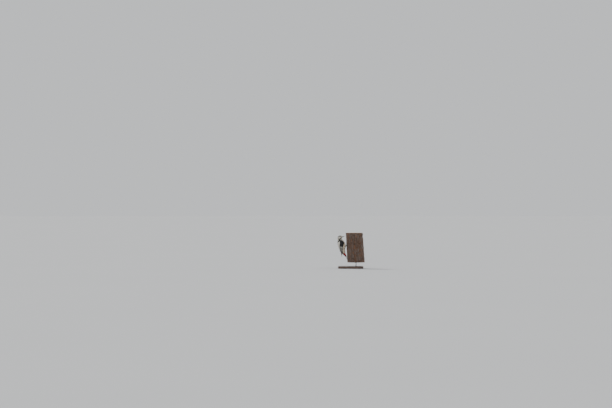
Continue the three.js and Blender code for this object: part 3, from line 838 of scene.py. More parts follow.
def horn_material(name, dark, light, roughness):
    """Bill and claws: satin horn, a little streaked."""
    made, nodes, shader = new_material(name, coat_weight=0.25, coat_roughness=0.25)
    place = nodes.add("ShaderNodeTexCoord").outputs["Object"]
    streaks = nodes.add("ShaderNodeMapping", {"Vector": place, "Scale": (0.6, 0.6, 3.0)}).outputs[0]
    group = nodes.add("ShaderNodeGroup", node_tree=MOTTLE)
    for key, value in (("Dark", rgba(dark)), ("Light", rgba(light)), ("Size", 0.0025), ("Vector", streaks)):
        nodes.feed(group.inputs[key], value)
    nodes.feed(shader.inputs["Base Color"], group.outputs["Color"])
    nodes.feed(shader.inputs["Roughness"], nodes.span(group.outputs["Height"], 0.3, 0.7, roughness, roughness + 0.15))
    bump(nodes, shader, group.outputs["Height"], 0.25, 0.0002)
    return made


def scaly_material():
    """Skin of legs and toes: small scales, olive grey, with painted shade darkening the creases between them."""
    made, nodes, shader = new_material("scaly_skin", specular_ior_level=0.4)
    place = nodes.add("ShaderNodeTexCoord").outputs["Object"]
    cells = nodes.add("ShaderNodeTexVoronoi", {"Vector": place, "Scale": 2600.0}, feature="DISTANCE_TO_EDGE")
    crease = nodes.span(cells.outputs["Distance"], 0.0, 0.12, 1.0, 0.0)
    group = nodes.add("ShaderNodeGroup", node_tree=MOTTLE)
    for key, value in (("Dark", (0.075, 0.075, 0.062, 1)), ("Light", (0.17, 0.165, 0.13, 1)), ("Size", 0.003), ("Vector", place)):
        nodes.feed(group.inputs[key], value)
    # Painted shade: the edges of the small scale cells are darkened.
    scaled = nodes.mix(nodes.math("MULTIPLY", crease, 0.35), group.outputs["Color"], (0.04, 0.036, 0.03, 1))
    # Painted shade: the creases between the scutes, which scuted marks, are darkened to near black.
    between = nodes.math("MULTIPLY", nodes.note("crease", "Fac"), 0.75)
    nodes.feed(shader.inputs["Base Color"], nodes.mix(between, scaled, (0.03, 0.027, 0.022, 1)))
    nodes.feed(shader.inputs["Roughness"], nodes.span(group.outputs["Height"], 0.3, 0.7, 0.5, 0.66))
    height = nodes.math("SUBTRACT", group.outputs["Height"], crease)
    bump(nodes, shader, height, 0.5, 0.00012)
    return made


def eye_material():
    """A wet eye: black pupil, crimson-brown iris with fine rays, dark rim."""
    made, nodes, shader = new_material("eye_wet", roughness=0.3, coat_weight=0.5, coat_roughness=0.02, specular_ior_level=0.0)
    off_axis = nodes.note("off_axis", "Fac")
    place = nodes.add("ShaderNodeTexCoord").outputs["Object"]
    rays = nodes.noise(place, 2600.0, 4.0)
    iris = nodes.mix(rays, (0.040, 0.008, 0.005, 1), (0.115, 0.026, 0.013, 1))
    rim = nodes.mix(nodes.span(off_axis, 0.60, 0.72), iris, (0.012, 0.005, 0.004, 1))
    nodes.feed(shader.inputs["Base Color"], nodes.mix(nodes.span(off_axis, 0.40, 0.44), (0.002, 0.002, 0.002, 1), rim))
    return made


def lid_material():
    """The bare grey rim round the eye."""
    made, nodes, shader = new_material("eyelid_skin", roughness=0.45)
    place = nodes.add("ShaderNodeTexCoord").outputs["Object"]
    group = nodes.add("ShaderNodeGroup", node_tree=MOTTLE)
    for key, value in (("Dark", (0.02, 0.019, 0.018, 1)), ("Light", (0.07, 0.065, 0.06, 1)), ("Size", 0.0012), ("Vector", place)):
        nodes.feed(group.inputs[key], value)
    nodes.feed(shader.inputs["Base Color"], group.outputs["Color"])
    bump(nodes, shader, group.outputs["Height"], 0.4, 0.0001)
    return made


def bark_material():
    """Flaky pine bark: grey-brown weathered plates, orange where flakes came off, cracks darkened as painted shade."""
    made, nodes, shader = new_material("pine_bark", specular_ior_level=0.2)
    place = nodes.add("ShaderNodeTexCoord").outputs["Object"]
    parts = nodes.add("ShaderNodeSeparateXYZ", {0: nodes.note("bark", "Vector")}).outputs
    plate, fresh, shaded_crack = parts
    grain = nodes.add("ShaderNodeMapping", {"Vector": place, "Scale": (1.0, 1.0, 0.45)}).outputs[0]
    group = nodes.add("ShaderNodeGroup", node_tree=MOTTLE)
    for key, value in (("Dark", (0.060, 0.036, 0.027, 1)), ("Light", (0.205, 0.130, 0.092, 1)), ("Size", 0.0035), ("Vector", grain)):
        nodes.feed(group.inputs[key], value)
    grey = nodes.mix(nodes.span(plate, 0.2, 0.95, 0.05, 0.6), group.outputs["Color"], (0.185, 0.160, 0.145, 1))
    orange = nodes.mix(nodes.noise(place, 420.0), (0.15, 0.062, 0.034, 1), (0.33, 0.155, 0.083, 1))
    flaked = nodes.mix(nodes.span(fresh, 0.1, 0.9, 0.0, 0.85), grey, orange)
    pits = nodes.noise(grain, 800.0, 6.0, 0.7)
    flecked = nodes.mix(nodes.span(pits, 0.38, 0.56, 0.55, 0.0), flaked, (0.040, 0.025, 0.018, 1))
    bleached = nodes.mix(nodes.span(pits, 0.54, 0.70, 0.0, 0.35), flecked, (0.30, 0.245, 0.20, 1))
    # Painted shade: the cracks and flake seams are darkened to near black.
    dark = nodes.span(shaded_crack, 0.25, 0.95, 0.0, 0.85)
    nodes.feed(shader.inputs["Base Color"], nodes.mix(dark, bleached, (0.022, 0.014, 0.010, 1)))
    nodes.feed(shader.inputs["Roughness"], nodes.span(group.outputs["Height"], 0.3, 0.7, 0.78, 0.95))
    bump(nodes, shader, nodes.math("ADD", group.outputs["Height"], nodes.math("MULTIPLY", pits, 2.0)), 0.9, 0.0007)
    return made


def sawn_end_material():
    """Sawn pine: growth rings, reddish heart, pale sapwood, dark bark rim, drying cracks."""
    made, nodes, shader = new_material("sawn_pine", specular_ior_level=0.3)
    spot = nodes.note("spot", "Vector")
    parts = nodes.add("ShaderNodeSeparateXYZ", {0: spot}).outputs
    wander = nodes.noise(nodes.add("ShaderNodeVectorMath", {0: spot, 1: (0.05, 0.05, 0.05)}, operation="MULTIPLY").outputs[0], 1.0, 2.0)
    radius = nodes.math("SQRT", nodes.math("ADD", nodes.math("POWER", parts[0], 2.0), nodes.math("POWER", parts[1], 2.0)))
    warped = nodes.math("ADD", radius, nodes.math("MULTIPLY", wander, 7.0))
    ring = nodes.math("FRACT", nodes.math("DIVIDE", warped, 2.3))
    late = nodes.math("POWER", ring, 4.0)
    heart = nodes.span(warped, 26.0, 31.0, 1.0, 0.0)
    sap = nodes.mix(heart, (0.56, 0.40, 0.235, 1), (0.42, 0.215, 0.105, 1))
    ringed = nodes.mix(nodes.math("MULTIPLY", late, 0.6), sap, (0.25, 0.12, 0.055, 1))
    turn = nodes.math("ARCTAN2", parts[1], parts[0])
    spoke = nodes.math("ABSOLUTE", nodes.math("SINE", nodes.math("ADD", nodes.math("MULTIPLY", turn, 1.5), nodes.math("MULTIPLY", wander, 1.6))))
    split = nodes.math("MULTIPLY", nodes.span(nodes.math("MULTIPLY", spoke, radius), 0.5, 1.4, 1.0, 0.0), nodes.span(radius, 8.0, 20.0))
    split_in_wood = nodes.math("MULTIPLY", split, nodes.span(radius, 54.0, 58.0, 1.0, 0.0))
    cracked = nodes.mix(split_in_wood, ringed, (0.05, 0.028, 0.016, 1))
    fine = nodes.noise(spot, 1.7, 4.0)
    rim = nodes.mix(fine, (0.07, 0.032, 0.02, 1), (0.26, 0.12, 0.065, 1))
    nodes.feed(shader.inputs["Base Color"], nodes.mix(nodes.note("rim", "Fac"), cracked, rim))
    nodes.feed(shader.inputs["Roughness"], nodes.span(fine, 0.3, 0.7, 0.68, 0.85))
    saw = nodes.math("SINE", nodes.math("ADD", nodes.math("MULTIPLY", parts[0], 4.2), nodes.math("MULTIPLY", fine, 3.0)))
    height = nodes.math("SUBTRACT", nodes.math("ADD", nodes.math("MULTIPLY", saw, 0.2), late), nodes.math("MULTIPLY", split_in_wood, 3.0))
    bump(nodes, shader, height, 0.5, 0.0003)
    return made


def stand_wood_material():
    """Dark stained hardwood with long grain and a satin varnish."""
    made, nodes, shader = new_material("stained_wood", coat_weight=0.35, coat_roughness=0.28)
    place = nodes.add("ShaderNodeTexCoord").outputs["Object"]
    grain = nodes.add("ShaderNodeMapping", {"Vector": place, "Scale": (0.12, 1.0, 1.0)}).outputs[0]
    wander = nodes.noise(grain, 60.0, 4.0)
    parts = nodes.add("ShaderNodeSeparateXYZ", {0: grain}).outputs
    bands = nodes.math("SINE", nodes.math("ADD", nodes.math("MULTIPLY", parts[1], 900.0), nodes.math("MULTIPLY", wander, 22.0)))
    figure = nodes.mix(nodes.span(bands, -0.8, 1.0), (0.030, 0.015, 0.009, 1), (0.085, 0.042, 0.023, 1))
    pores = nodes.noise(grain, 2400.0, 3.0, 0.7)
    pore = nodes.span(pores, 0.60, 0.68)
    nodes.feed(shader.inputs["Base Color"], nodes.mix(nodes.math("MULTIPLY", pore, 0.6), figure, (0.012, 0.007, 0.005, 1)))
    nodes.feed(shader.inputs["Roughness"], nodes.span(wander, 0.3, 0.7, 0.34, 0.48))
    bump(nodes, shader, nodes.math("MULTIPLY", pore, -1.0), 0.25, 0.0002)
    return made


def steel_material():
    """Brushed steel, with fine turned lines round each rod."""
    made, nodes, shader = new_material("brushed_steel", metallic=1.0)
    place = nodes.add("ShaderNodeTexCoord").outputs["Object"]
    lines = nodes.add("ShaderNodeMapping", {"Vector": place, "Scale": (0.05, 0.05, 1.0)}).outputs[0]
    scratch = nodes.noise(lines, 9000.0, 2.0, 0.7)
    nodes.feed(shader.inputs["Base Color"], nodes.mix(scratch, (0.42, 0.43, 0.44, 1), (0.62, 0.63, 0.64, 1)))
    nodes.feed(shader.inputs["Roughness"], nodes.span(scratch, 0.3, 0.7, 0.24, 0.42))
    bump(nodes, shader, scratch, 0.15, 0.00005)
    return made


SOFT_FEATHERS = feather_material("soft_feathers", 0.5)
FLIGHT_FEATHERS = feather_material("flight_feathers", 0.4, barred=True)
BILL_HORN = horn_material("bill_horn", (0.034, 0.036, 0.041), (0.074, 0.078, 0.085), 0.34)
CLAW_HORN = horn_material("claw_horn", (0.020, 0.018, 0.017), (0.050, 0.045, 0.040), 0.35)
SCALY_SKIN = scaly_material()
EYE_WET = eye_material()
EYELID = lid_material()
PINE_BARK = bark_material()
SAWN_PINE = sawn_end_material()
STAND_WOOD = stand_wood_material()
STEEL = steel_material()

# ------------------------------------------------------------------ skin and body coat

COAT_STATIONS = np.array([0, 3, 6, 9, 13, 17, 20.0])
COAT_DEPTH = np.array([1.0, 0.9, 1.5, 2.4, 2.8, 2.8, 1.6])

grid_t = np.linspace(0, len(BODY) - 1, 231)
grid_angle = np.linspace(0, 2 * math.pi, 144, endpoint=False)
BODY_FORM = Surface(body_points(grid_t[:, None], grid_angle[None, :]), head_relief)


def thigh_radius(share):
    """The thigh's radius at shares of the way from the hip to the heel."""
    return np.interp(share, [0, 0.2, 0.4, 0.6, 0.8, 0.93, 1.0], [11.0, 9.3, 7.5, 5.9, 4.2, 2.9, 1.7])


def over_thighs(spines, normals):
    """Lifts the feathers of the flank over a thigh where they run into one."""
    for _, side in SIDES:
        hip, heel = HIP * (1, side, 1), HEEL * (1, side, 1)
        way = heel - hip
        share = np.clip(np.sum((spines - hip) * way, axis=-1) / np.sum(way * way), 0, 1)
        off = spines - hip - share[..., None] * way
        reach = np.linalg.norm(off, axis=-1)
        radius = thigh_radius(share) + 0.3
        gain = (radius - reach + np.sqrt((reach - radius) ** 2 + 2.0)) / 2
        gain = gain * (reach[:, :1] > radius[:, :1]) * (1 - smoothstep(share, 0.86, 1.0))
        outwards = off / reach[..., None]
        spines = spines + outwards * gain[..., None]
        normals = unit(mix(normals, outwards, 0.8 * smoothstep(gain, 0.3, 3.0)))
    return spines, normals


def thigh_grid(side):
    """The feathered thigh, which tapers out of the flank down to the heel."""
    share = np.linspace(0, 1, 25)
    path = HIP + share[:, None] * (HEEL + np.array([0.3, -0.3, 0.4]) - HIP)
    rings = limb_rings(path, thigh_radius(share), 36)
    rings[..., 1] *= side
    return rings


def bake_spot(t, angle):
    """Where a place of the body lies on the unwrap of the skin."""
    round_ = (np.asarray(angle) / (2 * math.pi)) % 1.0
    return np.stack([0.03 + 0.94 * round_, 0.02 + 0.78 * np.asarray(t) / (len(BODY) - 1)], axis=-1)


def make_skin():
    """One skin under the coat, from the crown to the tail coverts and down both thighs, dyed a fifth darker than the
    plumage over it as painted shade under the feathers.
    """
    depth = np.interp(grid_t, COAT_STATIONS, COAT_DEPTH)[:, None, None]
    grid = BODY_FORM.grid - BODY_FORM.normals * depth
    points, faces = loft(turned(grid))
    angle = np.broadcast_to(grid_angle, grid.shape[:2])
    dye = plumage(BODY_FORM.grid, angle)
    off_eye = np.linalg.norm(BODY_FORM.grid - eye_front(BODY_FORM.grid), axis=-1)
    dye = mix(np.array(BRISTLE) * 0.5, dye, smoothstep(off_eye, 3.1, 3.7)).reshape(-1, 3)
    spots = bake_spot(np.broadcast_to(grid_t[:, None], angle.shape), angle).reshape(-1, 2)
    ends = [0, len(dye) - 1]
    skin = Shape()
    # The factor 0.8 darkens the skin a fifth below the plumage's dye: painted shade under the coat.
    skin.add(points, faces, dye=np.concatenate([dye, dye[ends]]) * 0.8, OFBake=np.concatenate([spots, spots[ends]]))
    for _, side in SIDES:
        rings = thigh_grid(side)
        centre = rings.mean(axis=1, keepdims=True)
        points, faces = loft(centre + (rings - centre) * 0.8)
        share = np.linspace(0, 1, len(points))[:, None]
        spots = np.concatenate([0.1 + 0.2 * (side > 0) + 0.1 * share, 0.85 + 0.1 * share], axis=1)
        # BUFF times 0.8: the thigh skin darkened as painted shade under its feathers.
        skin.add(points, faces, dye=np.array(BUFF) * 0.8, OFBake=spots)
    piece = skin.build("skin", SKIN_COLOUR)
    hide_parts("head", "neck", "torso", "thigh_right", "thigh_left")


def skin_material():
    """Down and skin under the coat, in the colours of the coat, which the skin's dye note carries a fifth darker as
    painted shade.
    """
    made, nodes, shader = new_material("down", roughness=0.9)
    place = nodes.add("ShaderNodeTexCoord").outputs["Object"]
    down = nodes.noise(place, 1800.0, 4.0)
    shade = nodes.span(down, 0.3, 0.7, 0.7, 1.1)
    dyed = nodes.add("ShaderNodeVectorMath", {0: nodes.note("dye"), 1: nodes.add("ShaderNodeCombineXYZ", {0: shade, 1: shade, 2: shade}).outputs[0]}, operation="MULTIPLY").outputs[0]
    nodes.feed(shader.inputs["Base Color"], dyed)
    bump(nodes, shader, down, 0.5, 0.0003)
    return made


SKIN_COLOUR = skin_material()


def wing_rows(z):
    """The wing table's columns at the height z."""
    fine = along(WING, np.linspace(0, len(WING) - 1, 600))
    order = np.argsort(fine[:, 0])
    return [np.interp(z, fine[order, 0], fine[order, k]) for k in range(1, WING.shape[1])]


def wing_span(z):
    """The angles of the wing's inner and lower edges at the height z."""
    back_x, middle_x, half_width, inner_y, front_x, _ = wing_rows(z)
    inner = np.arcsin(np.clip(inner_y / half_width, -1, 1))
    outer = np.arccos(np.clip((front_x - middle_x) / (back_x - middle_x), -1, 1))
    return inner, np.maximum(outer, inner + 0.05)


def wing_points(side, z, v, height):
    """Points on a folded wing: v is 0 at the inner edge and 1 at the lower edge."""
    back_x, middle_x, half_width, _, _, _ = wing_rows(z)
    inner, outer = wing_span(z)
    angle = inner + v * (outer - inner)
    x = middle_x + (back_x - middle_x + height) * np.cos(angle)
    y = side * (half_width + height) * np.sin(angle)
    return np.stack([x, y, np.broadcast_to(z, x.shape)], axis=-1)


def under_wing(points, angle, margin):
    """True for places of the body that a wing covers by more than the margin, in radians."""
    z = points[..., 2]
    inner, outer = wing_span(z)
    turn = np.abs((angle + math.pi) % (2 * math.pi) - math.pi)
    return (z < 152) & (z > 46) & (turn > inner + margin) & (turn < outer - margin)


SOFT_CUT = Cut(rows=5, columns=4, thickness=0.10, curl=0.012, camber=0.08, tip_round=0.30, fringe=0.20)
HEAD_CUT = Cut(rows=4, columns=2, thickness=0.07, curl=0.02, camber=0.12, tip_round=0.5, tip_power=1.3, fringe=0.15)


def coat_spacing(t):
    return np.interp(t, [0, 6, 7, 9, 12, 20], [0.72, 0.85, 1.15, 1.25, 1.4, 1.35])


def near_face_gap(points):
    """True where no feather grows: the eyes and the root of the bill."""
    eye = np.linalg.norm(points - eye_front(points), axis=-1) < 2.6
    off_bill = points - BILL_BASE
    bill = (np.hypot(off_bill[..., 1] / 4.3, off_bill[..., 2] / 4.4) < 0.9) & (points[..., 0] < 33)
    return eye | bill


def dress_tract(name, t_from, t_to, rng, keep, cut):
    """Lays the body feathers of one stretch of the body as a piece of its own."""
    t, angle = sow(body_points, t_from, t_to, coat_spacing, rng)
    roots = body_points(t, angle)
    kept = keep(angle) & ~near_face_gap(roots) & ~under_wing(roots, angle, 0.16)
    t, angle, roots = t[kept], angle[kept], roots[kept]
    n = len(t)
    face = np.clip(0.42 + np.linalg.norm(roots - BILL_BASE, axis=-1) / 42, 0.42, 1)
    lengths = np.interp(t, [0, 3, 6, 9, 13, 17, 20], [4.6, 4.4, 6.6, 9.5, 12.5, 13, 10]) * face
    lengths *= 0.82 + 0.36 * rng.random(n)
    off_eye = eye_front(roots) - roots
    gap = np.linalg.norm(off_eye, axis=-1) - 2.35
    eye_ahead = np.sum(off_eye * body_lie(roots), axis=-1) > 0
    lengths = np.where(eye_ahead, np.minimum(lengths, np.maximum(gap, 0.8)), lengths)
    lengths *= 0.45 + 0.55 * smoothstep(gap, 0, 5)
    widths = np.interp(t, [0, 6, 9, 13, 20], [0.62, 0.84, 1.3, 1.6, 1.35]) * (0.6 + 0.4 * face)
    stray = rng.normal(0, 0.13, n)
    spines, normals = over_thighs(*BODY_FORM.spines(roots, lengths, body_lie, 5, stray))
    depth = np.interp(t, COAT_STATIONS, COAT_DEPTH) * 0.8
    tip = -0.15 + 0.45 * rng.random(n) * np.interp(t, [0, 6, 12], [0.4, 0.7, 1.1])
    look = roots + rng.normal(0, 0.2, roots.shape)
    dye = plumage(look, angle)
    shape = Shape()
    lay(shape, cut, spines, normals, widths, (-depth, tip), dye, bake_spot(t, angle), rng)
    return shape.build(name, SOFT_FEATHERS, crisp=70)


def dress_body():
    """The coat of the head, neck and body, in pieces."""
    def front(angle):
        return np.cos(angle) < 0.1

    def back(angle):
        return np.cos(angle) >= 0.1

    def all_round(angle):
        return np.ones(len(angle), bool)

    tracts = (
        ("coat_face", 0, 6.2, 11, front, HEAD_CUT, "plumage_pale"),
        ("coat_crown", 0, 6.2, 12, back, HEAD_CUT, "plumage_dark"),
        ("coat_neck", 6.2, 9, 13, all_round, SOFT_CUT, "plumage_dark"),
        ("coat_breast", 9, 14, 14, front, SOFT_CUT, "plumage_pale"),
        ("coat_mantle", 9, 14, 15, back, SOFT_CUT, "plumage_dark"),
        ("coat_vent", 14, 19.6, 16, front, SOFT_CUT, "plumage_pale"),
        ("coat_rump", 14, 19.6, 17, back, SOFT_CUT, "plumage_dark"),
    )
    for name, t_from, t_to, seed, keep, cut, slot in tracts:
        dress_tract(name, t_from, t_to, np.random.default_rng(seed), keep, cut)


def eye_axes(side):
    """The way an eye looks, and two directions across it."""
    axis = unit(np.array([-0.34, side * 0.93, 0.10]))
    first = unit(np.cross(axis, [0, 0, 1.0]))
    return axis, first, np.cross(axis, first)


def dress_eyes():
    """Rings of very small feathers close round both eyes."""
    rng = np.random.default_rng(23)
    shape = Shape()
    for _, side in SIDES:
        _, first, second = eye_axes(side)
        centre = (EYE + EYE_OPENING) * np.array([1, side, 1])
        roots, gaps = [], []
        for radius in (2.45, 2.7, 3.0, 3.35, 3.75, 4.2, 4.7):
            number = int(2 * math.pi * radius / 0.42)
            turn = 2 * math.pi * (np.arange(number) + 0.5 * rng.random(number)) / number
            roots.append(centre + radius * (np.cos(turn)[:, None] * first + np.sin(turn)[:, None] * second))
            gaps.append(np.full(number, radius - 2.3))
        roots, gap = np.concatenate(roots), np.concatenate(gaps)
        number = len(gap)
        ahead = np.sum((centre - roots) * body_lie(roots), axis=-1) > 0
        lengths = np.where(ahead, np.clip(gap, 0.5, 1.8), 1.5 + 0.35 * gap) * (0.85 + 0.3 * rng.random(number))
        spines, normals = BODY_FORM.spines(roots, lengths, body_lie, 4, rng.normal(0, 0.1, number))
        angle = side * np.arccos(np.clip((roots[:, 0] - 48) / 17, -1, 1))
        spots = bake_spot(np.interp(roots[:, 2], [172.7, 179.3, 184.8, 189], [4, 3, 2, 1]), angle)
        lifts = (np.full(number, -0.3), 0.12 + 0.12 * rng.random(number))
        widths = np.full(number, 0.44)
        lay(shape, HEAD_CUT, spines, normals, widths, lifts, plumage(roots, angle), spots, rng)
    shape.build("coat_round_eyes", SOFT_FEATHERS, crisp=70)


def dress_thighs():
    """Short soft feathers of both thighs, smaller towards the heel."""
    rng = np.random.default_rng(21)
    shape = Shape()
    for _, side in SIDES:
        rings = thigh_grid(side)
        shares, turns = [], []
        for row, share in enumerate(np.linspace(0.05, 0.93, 28)):
            number = int(2 * math.pi * thigh_radius(share) / (1.25 - 0.55 * share))
            turns.append((np.arange(number) + 0.5 * (row % 2) + 0.4 * rng.random(number)) / number)
            shares.append(np.full(number, share))
        share, turn = np.concatenate(shares), np.concatenate(turns)
        number = len(share)
        column = turn * rings.shape[1]
        low = column.astype(int)
        row = (share * (len(rings) - 1)).astype(int)
        near, far = (rings[row, (low + k) % rings.shape[1]] for k in (0, 1))
        roots = mix(near, far, column - low) + rng.normal(0, 0.15, (number, 3))
        way = unit(unit((HEEL - HIP) * np.array([1, side, 1])) + np.array([0.15, 0, -1.1]))
        lengths = (8.4 - 5.2 * share) * (0.8 + 0.4 * rng.random(number))
        stray = rng.normal(0, 0.10, number)
        spines, normals = Surface(rings).spines(
            roots, lengths, lambda places: np.broadcast_to(way, places.shape), 4, stray)
        dye = mix(np.array(BUFF), np.array(SOOT), 0.12 * rng.random(number))
        spots = np.stack([0.1 + 0.2 * (side > 0) + 0.1 * turn, 0.85 + 0.1 * share], axis=-1)
        lifts = (np.full(number, -0.6), 0.15 * rng.random(number) - 0.05)
        lay(shape, SOFT_CUT, spines, normals, 1.1 - 0.6 * share, lifts, dye, spots, rng)
    shape.build("coat_thighs", SOFT_FEATHERS, crisp=70)


# ------------------------------------------------------------------ wings

FLIGHT_CUT = Cut(rows=26, columns=6, thickness=0.18, curl=0.018, camber=0.03, tip_round=0.10,
                 fringe=0.012, waist=0.6, widest=0.3, end=0.42, shaft=0.2, outer_web=0.62, tuck=0.22)
COVERT_CUT = Cut(rows=9, columns=6, thickness=0.14, curl=0.018, camber=0.06, tip_round=0.16,
                 fringe=0.05, waist=0.6, widest=0.55, end=0.55, shaft=0.12, outer_web=0.85, tuck=0.16)
SCAPULAR_CUT = Cut(rows=7, columns=6, thickness=0.12, curl=0.016, camber=0.07, tip_round=0.30,
                   fringe=0.14, waist=0.5, widest=0.6, end=0.5)

# Feather rows of a folded wing. Each is (number, root z, root v, tip z, tip v, half width,
# root height, tip height, bars), where pairs run from the first feather to the last.
PRIMARIES = (8, (112, 100), (0.70, 0.96), (54, 21.6), (0.10, 0.62), (5.2, 3.4), (-2.2, -2.9), (-0.5, -1.1), 1.0)
OUTER_PRIMARY = (2, (104, 98), (0.98, 1.0), (38, 60), (0.96, 1.0), (2.8, 2.4), (-3.0, -3.1), (-1.6, -1.9), 1.0)
SECONDARIES = (9, (122, 124), (0.84, 0.22), (63, 66), (0.80, 0.16), (5.2, 5.6), (-1.9, -1.0), (-1.3, -0.1), 1.0)
TERTIALS = (3, (124, 126), (0.30, 0.12), (70, 60), (0.18, 0.06), (6.4, 6.6), (-0.9, -0.5), (0.0, 0.35), 2.0)
PRIMARY_COVERTS = (7, (131, 128), (0.72, 0.97), (100, 106), (0.72, 0.98), (3.6, 2.8), (-1.2, -1.6), (-0.4, -0.8), 0.0)
GREATER_COVERTS = (9, (138, 138), (0.80, 0.18), (106, 108), (0.70, 0.16), (4.6, 4.8), (-1.2, -0.8), (-0.1, 0.3), 0.0)
MEDIAN_COVERTS = (10, (146, 146), (0.86, 0.18), (125, 124), (0.86, 0.14), (4.0, 4.2), (-1.2, -0.8), (0.1, 0.5), 0.0)
ALULA = (3, (136, 134), (0.90, 0.98), (112, 120), (0.90, 0.99), (2.6, 2.2), (-0.9, -1.2), (0.2, -0.2), 0.0)


def wing_spines(side, row):
    """Spines and normals of one row of wing feathers, and their widths and lifts."""
    number, root_z, root_v, tip_z, tip_v, half, root_up, tip_up, bars = row
    share = np.linspace(0, 1, number)

    def spread(pair):
        return pair[0] + (pair[1] - pair[0]) * share

    u = np.linspace(0, 1, 12)[None, :]
    z = spread(root_z)[:, None] + (spread(tip_z) - spread(root_z))[:, None] * u
    v = spread(root_v)[:, None] + (spread(tip_v) - spread(root_v))[:, None] * u**1.25
    spines = wing_points(side, z, v, 0.0)
    normals = unit(wing_points(side, z, v, 1.0) - spines)
    return spines, normals, spread(half), (spread(root_up), spread(tip_up)), bars


def atlas_spots(number, start):
    """A bake spot for each large feather, in rows over the whole map."""
    index = np.arange(number) + start
    return np.stack([0.03 + 0.06 * (index % 16), 0.05 + 0.1 * (index // 16)], axis=-1)


def make_wing(label, side):
    """One folded wing: flight feathers, coverts and scapulars over a dark core."""
    rng = np.random.default_rng(31 if side > 0 else 32)
    shape = Shape()
    core_z = np.linspace(153, 48, 40)
    inner = np.interp(core_z, [48, 84], [0.42, 0.04])[:, None]
    loop = inner + (0.96 - inner) * np.concatenate([np.linspace(0, 1, 12), np.linspace(1, 0, 12)])
    depth = np.concatenate([np.full(12, 1.5), np.full(12, 2.9)])
    core = wing_points(side, np.broadcast_to(core_z[:, None], loop.shape), loop, -depth)
    points, faces = loft(core)
    shape.add(turned(points), faces, dye=np.array(SOOT) * 0.7, vane=np.zeros(3), to_tip=np.zeros(1),
              bars=np.zeros(1), bar_place=np.zeros(1), OFBake=np.array([0.97, 0.97]))
    spot = 0
    rows = ((PRIMARIES, FLIGHT_CUT), (OUTER_PRIMARY, FLIGHT_CUT), (SECONDARIES, FLIGHT_CUT), (TERTIALS, FLIGHT_CUT),
            (PRIMARY_COVERTS, COVERT_CUT), (ALULA, COVERT_CUT), (GREATER_COVERTS, COVERT_CUT), (MEDIAN_COVERTS, COVERT_CUT))
    for row, cut in rows:
        spines, normals, widths, lifts, bars = wing_spines(side, row)
        number = len(spines)
        dye = np.broadcast_to(np.array(BLACK), (number, 3)) * (0.9 + 0.3 * rng.random((number, 1)))
        if row is PRIMARIES or row is OUTER_PRIMARY:
            dye = dye * 0.6 + np.array(SOOT) * 0.55
        lay(shape, cut, spines, normals, widths, lifts, dye, atlas_spots(number, spot), rng, side, bars=bars, level=True)
        spot += number
    lesser_coverts(shape, side, rng)
    scapulars(shape, side, rng)
    piece = shape.build(f"feathers_wing_{label}", FLIGHT_FEATHERS, crisp=70)
    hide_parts(f"wing_{label}")


def scapular_edges(z):
    """The inner and outer edge of the white oval, in shares across the wing."""
    inner = np.interp(z, [96, 112, 130, 152], [0.0, -0.10, -0.16, -0.10])
    outer = np.interp(z, [96, 112, 122, 138, 148, 152], [0.1, 0.20, 0.28, 0.31, 0.24, 0.1])
    return inner, outer


def lay_on_wing(shape, cut, side, places, lengths, widths, lifts, dye, spots, rng):
    """Small feathers laid straight down the wing from places (z, v)."""
    z, v = places
    u = np.linspace(0, 1, 6)[None, :]
    path_z = z[:, None] - lengths[:, None] * u
    path_v = v[:, None] + 0.03 * u
    spines = wing_points(side, path_z, path_v, 0.0)
    normals = unit(wing_points(side, path_z, path_v, 1.0) - spines)
    lay(shape, cut, spines, normals, widths, lifts, dye, spots, rng, side)


def lesser_coverts(shape, side, rng):
    """Small scale-like black feathers over the shoulder."""
    rows = np.arange(155, 130, -1.9)
    z, v = np.meshgrid(rows, np.linspace(0.05, 1.0, 17), indexing="ij")
    v = v + 0.03 * (np.arange(len(rows))[:, None] % 2) + rng.normal(0, 0.006, v.shape)
    z = z + rng.normal(0, 0.3, z.shape)
    outside = v > scapular_edges(z)[1] - 0.02
    z, v = z[outside], v[outside]
    n = len(z)
    dye = np.array(BLACK) * (0.85 + 0.4 * rng.random((n, 1)))
    spots = np.stack([0.05 + 0.9 * v.clip(0, 1), 0.7 + 0.2 * (155 - z) / 27], axis=-1)
    lifts = (np.full(n, -0.9), 0.2 + 0.25 * rng.random(n))
    lay_on_wing(shape, SOFT_CUT, side, (z, v), 6.5 + 1.5 * rng.random(n), np.full(n, 1.9), lifts, dye, spots, rng)


def scapulars(shape, side, rng):
    """The white oval beside the back, with black feathers along its inner edge."""
    places = []
    for row, z in enumerate(np.linspace(152, 110, 19)):
        inner, outer = scapular_edges(z)
        for v in np.arange(inner + 0.02 * (row % 2), outer, 0.04):
            places.append((z, v, v < inner + 0.06 or z > 149.5))
    z, v, dark = (np.array(column, float) for column in zip(*places))
    n = len(z)
    z = z + rng.normal(0, 0.5, n)
    v = v + rng.normal(0, 0.008, n)
    lengths = np.interp(z, [110, 150], [17.0, 9.0]) * (0.88 + 0.24 * rng.random(n))
    dye = mix(np.array(WHITE), np.array(BLACK), dark)
    spots = np.stack([0.1 + 0.8 * (v + 0.2), 0.5 + 0.15 * (150 - z) / 38], axis=-1)
    lifts = (np.full(n, -0.2), 0.85 + 0.25 * rng.random(n))
    lay_on_wing(shape, SCAPULAR_CUT, side, (z, v), lengths, np.full(n, 2.3), lifts, dye, spots, rng)


# ------------------------------------------------------------------ tail

RECTRIX_CUT = Cut(rows=26, columns=6, thickness=0.3, curl=0.006, camber=0.05, tip_round=0.10, tip_power=1.2,
                  fringe=0.03, waist=0.75, widest=0.45, end=0.16, shaft=0.5, tuck=0.05)
RECTRICES = (  # reach of the tip across, share of the length, half width, white bars
    (0.10, 1.0, 4.6, 0.0),
    (0.30, 0.975, 4.5, 0.0),
    (0.50, 0.93, 4.3, 1.0),
    (0.70, 0.85, 4.0, 2.0),
    (0.88, 0.73, 3.6, 2.0),
)


